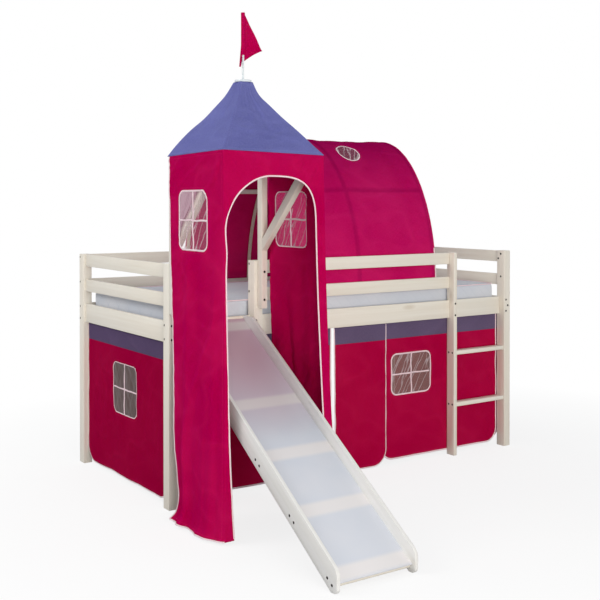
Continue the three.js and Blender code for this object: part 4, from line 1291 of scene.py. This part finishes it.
# %% The doorway's outline
wall_rows, arch_steps = 190, 60
spring = 1222.0
door_left, door_right = 8, tower_wide - 42
door_middle, half_door = (door_left + door_right) / 2, (door_right - door_left) / 2


def left_sway(z):
    """The doorway's left edge isn't straight: it swings out above the rail and in below it."""
    return 4 * math.exp(-((z - 1134) / 50) ** 2) - 5


def door_edge(side, share):
    shut = min(1, share / ((spring - hem) / wall_tall))
    if side < 0:
        return door_left + 20 * fullness(shut, 4) + left_sway(hem + share * wall_tall)
    return door_right + 44 * fullness(shut)


def arch_place(turn):
    c, s = math.cos(turn), max(0, math.sin(turn))
    power = 1.04 if c < 0 else 0.6
    z = spring + 220 * s ** power
    sway = left_sway(z) * c * c if c < 0 else 0
    return door_middle + half_door * math.copysign(abs(c) ** power, c) + sway, z


print("the doorway is", round(2 * half_door), "mm wide")

# %% Places round the doorway
strip = []
for side in (-1, 1):
    leg = []
    for row in range(wall_rows + 1):
        share = row / wall_rows
        z = hem + share * wall_tall
        outer = (corner_x(side, share), z)
        if z <= spring:
            leg.append(((door_edge(side, share), z), outer))
        else:
            leg.append((arch_place(math.atan2(z - spring, outer[0] - door_middle)), outer))
    if side < 0:
        strip += leg
        turns = [math.atan2(eave - spring, corner_x(end, 1) - door_middle) for end in (-1, 1)]
        for step in range(1, arch_steps):
            turn = mix(turns[0], turns[1], step / arch_steps)
            x = door_middle + (eave - spring) / math.tan(turn)
            strip.append((arch_place(turn), (x, eave)))
    else:
        strip += leg[::-1]


print("front strip has", len(strip), "places round the doorway")

# %% How the front hangs
def front_flat(u, v):
    index = min(len(strip) - 2, int(u))
    inner, outer = [[mix(a, b, u - index) for a, b in zip(strip[index][end], strip[index + 1][end])]
                    for end in (0, 1)]
    return mix(inner[0], outer[0], v), mix(inner[1], outer[1], v)


def front_hang(u, v):
    x, z = front_flat(u, v)
    share = (z - hem) / wall_tall
    left_gap, right_gap = x - corner_x(-1, share), corner_x(1, share) - x
    ease = unit(min(left_gap / 30, right_gap / 30, (eave - z) / 20))
    edge_ease = min(1, max(0, v) * 4 + 0.15)
    size = 6.0 * corner_fan(left_gap, eave - z, 3) + 5.0 * corner_fan(right_gap, eave - z, 5)
    size += 3.2 * fold(z, x, 0.0, 46, 420, 4) + 2.2 * fold(x, z, 1.3, 26, 150, 8)
    near_hem = 6 * math.exp(-(z - hem) / 260) * min(1, right_gap / 60, left_gap / 30)
    size += near_hem * fold(z, x, 0.1, 60, 500, 6)
    size = max(size * ease * edge_ease, -0.5 - max(0, eave - z - 450) / 12)
    y = front_y(share)
    return Vector((x, y - size, z + eave_lift(x, y, share)))


def front_cut(u, v):
    x, z = front_flat(u, v)
    return side_walls["left"].wide + bar_gap + x, z - hem


front_wall = Cloth(len(strip) - 1, 1, front_hang, pointing(0, -1, 0), flat=front_cut)
print("the front's lower left corner hangs at", [round(value) for value in front_hang(0, 1)])

# %% Sewing the three together
tower_cloth = sewn("tower_cloth", [
    hang_sheet("left_panel", side_walls["left"], columns=58, rows=wall_rows),
    hang_sheet("front_panel", front_wall, columns=len(strip) - 1, rows=24),
    hang_sheet("right_panel", side_walls["right"], columns=54, rows=wall_rows)], 0.0004)
tower_area = finish_sheet(tower_cloth, "bed_frame", "pink_cloth",
                          "tower_left_wall", "tower_front_wall", "tower_right_wall")
print("tower cloth area", round(tower_area, 3), "square metres")

# %% Piping and windows of the tower
pane_shade_reach, pane_shade_fade = 184, 30


def left_pane_shade(u, v):
    """Painted shade: the left pane is darker and pinker towards its rear top corner,
    which looks past the tunnel.
    """
    return 0.6 * unit((pane_shade_reach - u - (window_tall - v)) / pane_shade_fade)


tower_tapes, tower_trim = [], []
for name, seed, dim in (("left", 20, left_pane_shade), ("right", 21, lambda u, v: 0.0)):
    cloth = side_walls[name]
    pane, tapes = glaze(f"tower_{name}_window", cloth, cloth.windows[0], "bed_frame", seed, dim,
                        rosy_vinyl)
    tower_trim.append(pane)
    tower_tapes += tapes
    if name == "left":
        tower_tapes.append(bind(cloth, [(1, 2), (1, wall_tall - 2)], wide=7, thick=4.5))
    tower_tapes.append(bind(cloth, [(2, 1), (cloth.wide - 1, 1)], wide=6, thick=3.5))
door_path = [(u, 0.0) for u in range(1, len(strip) - 1)]
tower_tapes.append(bind(front_wall, door_path, wide=7, thick=4.5, pitch=1.0))
tower_trim.append(trimmed("tower_piping", tower_tapes, "bed_frame"))
tower_round = side_walls["left"].wide + tower_wide + side_walls["right"].wide + 4
tower_round / 1000
print("tower piping and two windows")

# %% [markdown]
# ## Roof
# The roof is four curved triangles sewn along the hips. It hangs from the disc to the eave, so
# it is hollow between them like a tent. Each triangle is its own grid in the flat, and the four
# are welded along the hips.

# %% The roof's corners
roof_low, roof_high = box_of("roof_cloth")
roof_foot, roof_top = roof_low.z, roof_high.z
top_shift = mast_x - tower_wide / 2
corner_table = [(0, 1, 1, 1), (0.12, 0.895, 0.86, 0.88), (0.24, 0.775, 0.73, 0.755),
                (0.36, 0.64, 0.595, 0.62), (0.5, 0.455, 0.43, 0.445), (0.66, 0.285, 0.26, 0.275),
                (0.82, 0.125, 0.095, 0.11), (1, 0, 0, 0)]
roof_corners = [(-1, -1, 2), (1, -1, 1), (1, 1, 2), (-1, 1, 0)]
roof_ways = [(0, -1, 0.6), (1, 0, 0.6), (0, 1, 0.6), (-1, 0, 0.6)]
panel_wide, panel_tall = 480, 400


def roof_corner(corner, share):
    x, y, column = corner
    reach = read_table(corner_table, share)[column]
    return Vector((x * mix(29, 243.3, reach) + top_shift * (1 - reach), y * mix(29, 239.3, reach)))


print("the roof's corners go out by", [round(value) for value in roof_corner(roof_corners[0], 0)])

# %% How a triangle hangs
def roof_rule(side):
    def base(u, v):
        share, along = v / panel_tall, u / panel_wide
        start, end = (roof_corner(roof_corners[(side + step) % 4], share) for step in (0, 1))
        place = start.lerp(end, along)
        sag = 36 * share * (1 - share) * (1 - (2 * along - 1) ** 2)
        place *= 1 - sag / max(place.length, sag, 1)
        x, y = tower_wide / 2 + place.x, -tower_deep / 2 + place.y
        lift = eave_lift(x, y, 1) * max(0, 1 - share) ** 3
        return Vector((x, y, mix(roof_foot, roof_top, share) + lift))
    return base


def roof_wrinkles(side):
    def wrinkle(u, v):
        ease = unit(min(u / 50, (panel_wide - u) / 50, v / 30, (panel_tall - v) / 40))
        size = 2.4 * fold(u, v, 0.12, 30, 160, 31 + side) * math.exp(-abs(v - 90) / 150)
        size += 2.8 * corner_fan(u, v + 30, 35 + side) + 1.6 * fold(v, u, 0.0, 50, 300, 41 + side)
        if side == 0:
            patch = math.exp(-((u - 120) / 60) ** 2 - ((v - 120) / 55) ** 2)
            size += 2.6 * patch * math.sin(v / 7 + u / 60)
        return size * ease
    return wrinkle


def roof_flat(side, base):
    """Each triangle lies flat beside the last one, at its true width and slant height."""
    middle = [base(panel_wide / 2, v) for v in range(0, panel_tall + 1, 10)]
    slant = [0.0]
    for lower, upper in zip(middle, middle[1:]):
        slant.append(slant[-1] + (upper - lower).length)

    def flat(u, v):
        step = min(len(slant) - 2, max(0, int(v / 10)))
        height = mix(slant[step], slant[step + 1], v / 10 - step)
        wide = (base(panel_wide, v) - base(0, v)).length
        return side * 520 + 250 + (u / panel_wide - 0.5) * wide, height
    return flat


print("a triangle's middle leans to", [round(value) for value in roof_rule(0)(240, 200)])

# %% Sewing the roof
panels = []
for side in range(4):
    base, out = roof_rule(side), pointing(*roof_ways[side])
    cloth = Cloth(panel_wide, panel_tall, wrinkled(base, out, roof_wrinkles(side)), out,
                  flat=roof_flat(side, base))
    panels.append(hang_sheet(f"roof_panel_{side}", cloth, columns=48, rows=56, finish=lilac))
    if side == 0:
        roof_slant = cloth.flat(panel_wide / 2, panel_tall)[1]
roof = sewn("roof_sheet", panels, 0.0003)
roof_area = finish_sheet(roof, "bed_frame", "lilac_cloth", "roof_cloth", thick=1.8)
roof_slant / 1000
print("roof cloth area", round(roof_area, 3))

# %% [markdown]
# ## Tunnel
# Three thin strips of bent wood stand inside the guard rails, and two battens tie them. The
# cloth is pulled over them: it lies tight on the hoops and sags a little between them. Painted
# shade shows each hoop and batten behind it as a darker band, and darkens the cloth towards its
# top. A round clear window is sewn in near the top.

# %% The tunnel's section
tunnel_low, tunnel_high = box_of("tunnel_cloth")
tunnel_middle = (tunnel_low.y + tunnel_high.y) / 2
half_span = (tunnel_high.y - tunnel_low.y) / 2
tunnel_rise = tunnel_high.z - tunnel_low.z
arc_steps = 360
arc_lengths = [0.0]
for step in range(arc_steps):
    turns = [math.pi * s / arc_steps for s in (step, step + 1)]
    ends = [(half_span * math.cos(turn), tunnel_rise * math.sin(turn)) for turn in turns]
    arc_lengths.append(arc_lengths[-1] + math.dist(*ends))
arc = arc_lengths[-1]


def turn_at(length):
    """How far round the arch a length of cloth from the front foot reaches, as an angle."""
    length = min(arc, max(0, length))
    low, high = 0, arc_steps
    while high - low > 1:
        half = (low + high) // 2
        low, high = (half, high) if arc_lengths[half] <= length else (low, half)
    share = (length - arc_lengths[low]) / (arc_lengths[high] - arc_lengths[low])
    return math.pi * (low + share) / arc_steps


def section(turn, depth=0.0):
    """The place on the arch at an angle, moved inward by a depth: back and up."""
    back, up = -math.cos(turn), math.sin(turn)
    out = Vector((back * tunnel_rise, up * half_span)).normalized()
    return (tunnel_middle + half_span * back - out.x * depth,
            tunnel_low.z + tunnel_rise * up - out.y * depth)


def hoop_x(front, skew, back):
    return front - skew * (back - tunnel_low.y) / (2 * half_span)


hoops = [("left", 610, 0), ("middle", 1085, 81), ("right", 1576, 0)]
batten_turns = {"front": 6.5 / 30, "rear": 23.5 / 30}
print("the tunnel's cloth is", round(arc), "mm round")

# %% Hoops
for name, front, skew in hoops:
    hoop = grid_piece(name + "_hoop_strip", 2, 120)
    for vertex in hoop.data.vertices:
        back, up = section(math.pi * (vertex.co.y + 0.5), 4.1)
        vertex.co = at(hoop_x(front, skew, back) + vertex.co.x * 20, back, max(up, tunnel_low.z))
    inward = 1 if hoop.data.polygons[0].normal.y > 0 else -1
    apply(hoop, "SOLIDIFY", thickness=0.0038, offset=inward)
    soften(hoop, 0.9, 2)
    finish_board(hoop, [name + "_hoop"], (0, 0.3, 1), bent, "bent_wood")
for name, share in batten_turns.items():
    low, high = box_of(f"{name}_tunnel_batten")
    turn = math.pi * share
    batten = timber(name + "_tunnel_batten_board", (low.x, -13, -3), (high.x, 13, 3))
    tangent = Vector((half_span * math.sin(turn), tunnel_rise * math.cos(turn)))
    tilt = Matrix.Rotation(math.atan2(tangent.y, tangent.x), 4, "X")
    centre = at((low.x + high.x) / 2, (low.y + high.y) / 2, (low.z + high.z) / 2)
    middle_place = at((low.x + high.x) / 2, 0, 0)
    batten.data.transform(Matrix.Translation(centre) @ tilt @ Matrix.Translation(-middle_place))
    soften(batten, 1.4)
    finish_board(batten, [name + "_tunnel_batten"], (1, 0, 0))
print("three hoops and two battens")

# %% How the tunnel cloth hangs
tunnel_wide = tunnel_high.x - tunnel_low.x


def tunnel_base(u, v):
    back, up = section(turn_at(v), 1.0)
    return Vector((tunnel_low.x + u, back, up))


def hoop_near(u, v):
    """Signed distances along the bed from a place on the cloth to each hoop."""
    back = section(turn_at(v))[0]
    return [tunnel_low.x + u - hoop_x(front, skew, back) for name, front, skew in hoops]


def tunnel_wrinkles(u, v):
    gaps = hoop_near(u, v)
    nearest = min(abs(gap) for gap in gaps)
    slack = unit((nearest - 12) / 90)
    foot = min(1, v / 120, (arc - v) / 120)
    size = -3.4 * slack + 2.2 * slack * fold(v, u, 0.0, 90, 700, 51)
    size += 1.8 * slack * fold(u, v, 0.5, 40, 240, 53)
    size += 1.0 * fold(u, v, -0.4, 22, 130, 57) * min(1, nearest / 25)
    return size * max(0, foot)


batten_lengths = (arc_lengths[round(arc_steps * batten_turns["front"])] + 12,
                  arc_lengths[round(arc_steps * batten_turns["rear"])] - 12)


def tunnel_shade(u, v):
    """Dark bands along the hoops and battens, and more shade towards the top."""
    gaps = hoop_near(u, v)
    band = max(unit((17 - abs(gap)) / 9) for gap in gaps)
    if gaps[0] > 0 > gaps[2]:
        for length in batten_lengths:
            band = max(band, unit((16 - abs(v - length)) / 8))
    return 0.26 * band + 0.7 * max(0, math.sin(turn_at(v))) ** 3


def tunnel_out(u, v):
    return 0, -math.cos(turn_at(v)), math.sin(turn_at(v)) * 0.7


print("battens darken the cloth at", [round(length) for length in batten_lengths], "mm")

# %% Tunnel cloth and its window
skylight_radius = 65
skylight = (1215 - tunnel_low.x - skylight_radius, arc_lengths[130] - skylight_radius,
            2 * skylight_radius, 2 * skylight_radius, skylight_radius)
tunnel = Cloth(tunnel_wide, arc, wrinkled(tunnel_base, tunnel_out, tunnel_wrinkles), tunnel_out,
               [skylight], shade=tunnel_shade)
tunnel_sheet = hang_sheet("tunnel_sheet", tunnel, 9.0, finish=lit_tunnel_pink)
tunnel_area = finish_sheet(tunnel_sheet, "bed_frame", "pink_cloth", "tunnel_cloth")
pane, tapes = glaze("skylight", tunnel, skylight, "bed_frame", 61, finish=rosy_vinyl)
edge_tapes, white_end = [], 190
for u in (2, tunnel_wide - 2):
    for start, end, kept in ((1, white_end, tapes), (white_end, arc - white_end, edge_tapes),
                             (arc - white_end, arc - 1, tapes)):
        kept.append(bind(tunnel, [(u, start), (u, end)], wide=8, thick=3.4, pitch=12))
tunnel_trim = [pane, trimmed("tunnel_piping", tapes, "bed_frame"),
               trimmed("tunnel_binding", edge_tapes, "bed_frame", lit_tunnel_pink)]
arc / 1000
print("tunnel cloth area", round(tunnel_area, 3))

# %% [markdown]
# ## Curtains
# Five curtains close the den under the bed. Each is pink with a lilac band along the top, hangs
# from the rail's inner face in soft folds, and has piping down its sides, round its lower
# corners and along its hem. Each one rides on its own body, because a child can lift it.

# %% How a curtain hangs
def curtain(name, place, seed, window=None, dark=0.2):
    """Hangs a curtain; place turns its width, fold depth and height into a place on the bed."""
    low, high = box_of(name)
    wide, tall = max(high.x - low.x, high.y - low.y), high.z - low.z

    def hang(u, v):
        fall = 1 - v / tall
        wave = 6 * fall * (1 - math.cos(2 * math.pi * u / 150)) / 2
        soft = 5.5 * fall * fold(v, u, 0.0, 170, 1600, seed)
        soft += 1.2 * fold(u, v, 0.9, 40, 240, seed + 2) * (1 - fall)
        soft += 2.4 * fold(u, v, 1.9, 34, 260, seed + 4) * fall * (1 - fall) * 3
        clear = 1.2 - max(0, 1 - (tall - v) / 8)
        return place(u, wave * 0.15 + soft * min(1, fall * 4 + 0.1) + clear, low.z + v)

    facing = Vector(place(0, -1, 0)) - Vector(place(0, 0, 0))
    # Painted shade: one even shade over the whole curtain, for the shaded den behind the thin
    # cloth.
    cloth = Cloth(wide, tall, hang, pointing(*facing), [window] if window else [],
                  trim=(0, 0, wide, tall + 200, 80), shade=lambda u, v: dark)
    band_foot = 640 - low.z
    sheet = hang_sheet(name + "_sheet", cloth, 9.0, lines=(band_foot,), finish=curtain_pink)
    # The band along the top takes the darker lilac, painted shade under the rail.
    sheet.data.materials.append(shaded_lilac_band.material)
    layer = sheet.data.uv_layers["flat"].data
    for face in sheet.data.polygons:
        height = sum(layer[index].uv.y for index in face.loop_indices) / face.loop_total
        face.material_index = 1 if height * 1000 > band_foot else 0
    area = finish_sheet(sheet, name, "pink_cloth", name)
    lower = round_outline((2, 2, wide - 4, tall + 196, 78))
    path = [(2, tall - 3)] + [(x, y) for x, y in lower if y < tall / 2] + [(wide - 2, tall - 3)]
    tapes, extra = [bind(cloth, path, wide=8, thick=3.6)], []
    if window:
        # Its pane gets more painted shade than the curtain.
        pane, window_tapes = glaze(name + "_window", cloth, window, name, seed + 5,
                                   lambda u, v: dark * 2 - 0.1)
        extra.append(pane)
        tapes += window_tapes
    extra.append(trimmed(name + "_piping", tapes, name))
    print(name, "area", round(area, 3))


print("a curtain can be cut and hung")

# %% Five curtains
left_low = box_of("front_left_curtain")[0]
right_low = box_of("front_right_curtain")[0]
door_low, door_high = box_of("front_door_curtain")
end_low, end_high = box_of("left_end_curtain")
hang_y = left_low.y + 2.3
left_end_x, right_end_x = end_high.x - 1.5, box_of("right_end_curtain")[0].x + 1.5


def door_place(u, n, z):
    """The door curtain leans a little towards the tower along its free edge."""
    lean = 5 + 8 * (z - door_low.z) / (door_high.z - door_low.z)
    return door_low.x + u - lean * (1 - u / (door_high.x - door_low.x)), door_high.y - 1.5 - n, z


front_window = (1289 - right_low.x, 351 - right_low.z, 262, 208, window_radius)
end_window = (385 - end_low.y, 323 - end_low.z, 262, 242, window_radius)
curtain("front_left_curtain", lambda u, n, z: (left_low.x + u, hang_y + n, z), 71)
curtain("front_right_curtain", lambda u, n, z: (right_low.x + u, hang_y + n, z), 81, front_window)
curtain("front_door_curtain", door_place, 91)
# The end curtains get more painted shade than the front ones.
curtain("left_end_curtain", lambda u, n, z: (left_end_x - n, end_low.y + u, z), 101,
        end_window, 0.5)
curtain("right_end_curtain", lambda u, n, z: (right_end_x + n, end_low.y + u, z), 111,
        end_window, 0.5)

# %% [markdown]
# ## Flag
# A small pennant is sewn round a sleeve that drops over the pole, so that it turns in a draught.
# The sleeve is a short bar bored out from below, and the pennant is a cut sheet that waves.

# %% The flag's sleeve
flag_low, flag_high = box_of("flag")
flag_tall, flag_middle = flag_high.z - flag_low.z, (flag_low.z + flag_high.z) / 2
sleeve = round_bar((mast_x, mast_y, flag_middle), upright, 17, flag_tall, 28)
take_out(sleeve, round_bar((mast_x, mast_y, flag_middle - 3), upright, 10.2, flag_tall, 28))
edit(sleeve)
bpy.ops.mesh.subdivide(number_cuts=2)
done()
pole_line = at(mast_x, mast_y, 0)
# The back of the lower end droops to the left, and its front is pulled up by the pennant.
for vertex in sleeve.data.vertices:
    height = (vertex.co.z * 1000 - flag_low.z) / flag_tall
    pull = 0.08 * max(0, bumps(vertex.co.x * 90, vertex.co.y * 90, height * 9))
    from_pole = (vertex.co - pole_line).to_2d()
    reach = from_pole.length * (1 + pull)
    droop = max(0, 0.3 - height) / 0.3
    if from_pole.y > -0.002 and from_pole.x < 0.002:
        from_pole.x -= droop * 0.009
        vertex.co.z -= droop * 0.024
    else:
        vertex.co.z += droop * 0.026
    if reach > 0:
        from_pole *= max(1, reach / from_pole.length)
    vertex.co.x, vertex.co.y = pole_line.x + from_pole.x, pole_line.y + from_pole.y
sleeve.name = "flag_sleeve"
layer = sleeve.data.uv_layers.active or sleeve.data.uv_layers.new()
layer.name = "flat"
for loop in sleeve.data.loops:
    place = sleeve.data.vertices[loop.vertex_index].co
    round_pole = math.atan2(place.y - pole_line.y, place.x - pole_line.x)
    layer.data[loop.index].uv = (round_pole * 0.0085, place.z)
dress(sleeve, pink, 40)
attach(sleeve, "flag")
print("sleeve", round(flag_tall), "mm tall")

# %% The pennant
flag_wide = 90
edge_table = [(0, 0.985, 0.0), (0.15, 0.88, 0.045), (0.35, 0.72, 0.1), (0.55, 0.57, 0.155),
              (0.75, 0.42, 0.2), (0.92, 0.3, 0.235), (1, 0.255, 0.245)]


def pennant_flat(u, v):
    upper, lower = read_table(edge_table, u / flag_wide)
    return 6 + u, flag_tall * mix(lower, upper, v / 100)


def pennant_hang(u, v):
    x, z = pennant_flat(u, v)
    fly = u / flag_wide
    wave = 5 * math.sin(fly * 2 * math.pi + v / 100) * fly
    wave += 1.5 * fold(u, v, 0.6, 20, 80, 121) * fly
    return Vector((mast_x + x, mast_y + wave, flag_low.z + z))


pennant = Cloth(flag_wide, 100, pennant_hang, pointing(0, -1, 0), flat=pennant_flat)
flag = hang_sheet("flag_sheet", pennant, columns=36, rows=40)
flag_area = finish_sheet(flag, "flag", "pink_cloth", "flag", thick=1.4)
print("flag", round(flag_area, 4), "square metres")

# %% [markdown]
# ## Mattress
# A foam mattress is a stuffed cover: it bulges between its seams and is flat where it lies. A
# slightly small block is remeshed into even cells, blown up as cloth with the seams held by its
# stiffness, and kept inside the space that the bed leaves for it. Piping hides the seams.

# %% Cover finish
cover = Finish("mattress_cover")
cover_place = cover.place()
cover_x, cover_y, cover_z = cover.parts(cover_place)
stitches = [(slant * 26.0).sine().size()
            for slant in (cover_x + cover_y + cover_z, cover_x - cover_y + cover_z)]
quilt_rise = (stitches[0] * stitches[1]) ** 0.35
terry = cover.noise(cover_place, 900.0, 2.0)
tone = cover.noise(cover_place, 4.0, 3.0)
cover_colour = cover.mix(tone.between(0.3, 0.7), paint(205, 211, 221), paint(216, 219, 226))
# Painted shade: the cover is darker in the dips along the quilting.
cover_colour = cover.mix(quilt_rise.between(0.0, 0.4), paint(199, 206, 217), cover_colour)
cover.close(cover_colour, terry * 0.15 + 0.8, quilt_rise * 0.8 + terry * 0.2, 0.0012,
            sheen_weight=0.1)
print("quilted cover ready")

# %% Pad
pad_low, pad_high = box_of("mattress")
pad = timber("mattress_pad", (pad_low.x + 7, pad_low.y + 7, pad_low.z + 1),
             (pad_high.x - 7, pad_high.y - 7, pad_high.z - 12))
pick_edges(pad, lambda edge: abs(edge.verts[0].co.z - edge.verts[1].co.z) > 0.05)
bpy.ops.mesh.bevel(offset=0.05, segments=6, affect="EDGES")
done()
soften(pad, 9, 2)
apply(pad, "REMESH", mode="VOXEL", voxel_size=0.016)
print("pad of", len(pad.data.vertices), "places")

# %% Swelling the pad
rest = [vertex.co.copy() for vertex in pad.data.vertices]
alone(pad)
swell = pad.modifiers.new("swell", "CLOTH")
for key, value in {"quality": 5, "mass": 0.4, "tension_stiffness": 20, "use_pressure": True,
                   "uniform_pressure_force": 4}.items():
    setattr(swell.settings, key, value)
swell.settings.effector_weights.gravity = 0
for step in range(1, 21):
    bpy.context.scene.frame_set(step)
bpy.ops.object.modifier_apply(modifier="swell")
bpy.context.scene.frame_set(1)
lowest, highest = at(*pad_low), at(*pad_high)
furthest, margin = 0.011, 0.0008
moved = 0
for vertex, start in zip(pad.data.vertices, rest):
    step = vertex.co - start
    if step.length > furthest:
        vertex.co = start + step * (furthest / step.length)
    for axis in range(3):
        vertex.co[axis] = min(highest[axis] - margin, max(lowest[axis] + margin, vertex.co[axis]))
    moved = max(moved, (vertex.co - start).length)
apply(pad, "SUBSURF", levels=1, render_levels=1)
pad.data.materials.clear()
pad.data.materials.append(cover.material)
alone(pad)
bpy.ops.object.shade_smooth()
hand_over(pad, "bed_frame", "mattress_cover", "mattress")
print("mattress pad swelled by up to", round(moved * 1000, 1), "mm")

# %% Piping round the mattress
def edge_rule(height, inset):
    return lambda u, v: (pad_low.x + inset + u, pad_low.y + inset + v, height)


seams = []
for height in (pad_low.z + 6, pad_high.z - 13):
    wide, deep = pad_high.x - pad_low.x - 12, pad_high.y - pad_low.y - 12
    rim = Cloth(wide, deep, edge_rule(height, 6), pointing(0, 0, 1))
    seams.append(bind(rim, round_outline((0, 0, wide, deep, 52), 8), wide=5.5, thick=5.5,
                      closed=True, proud=0, pitch=25))
trimmed("mattress_piping", seams, "bed_frame")
print("two seams piped")
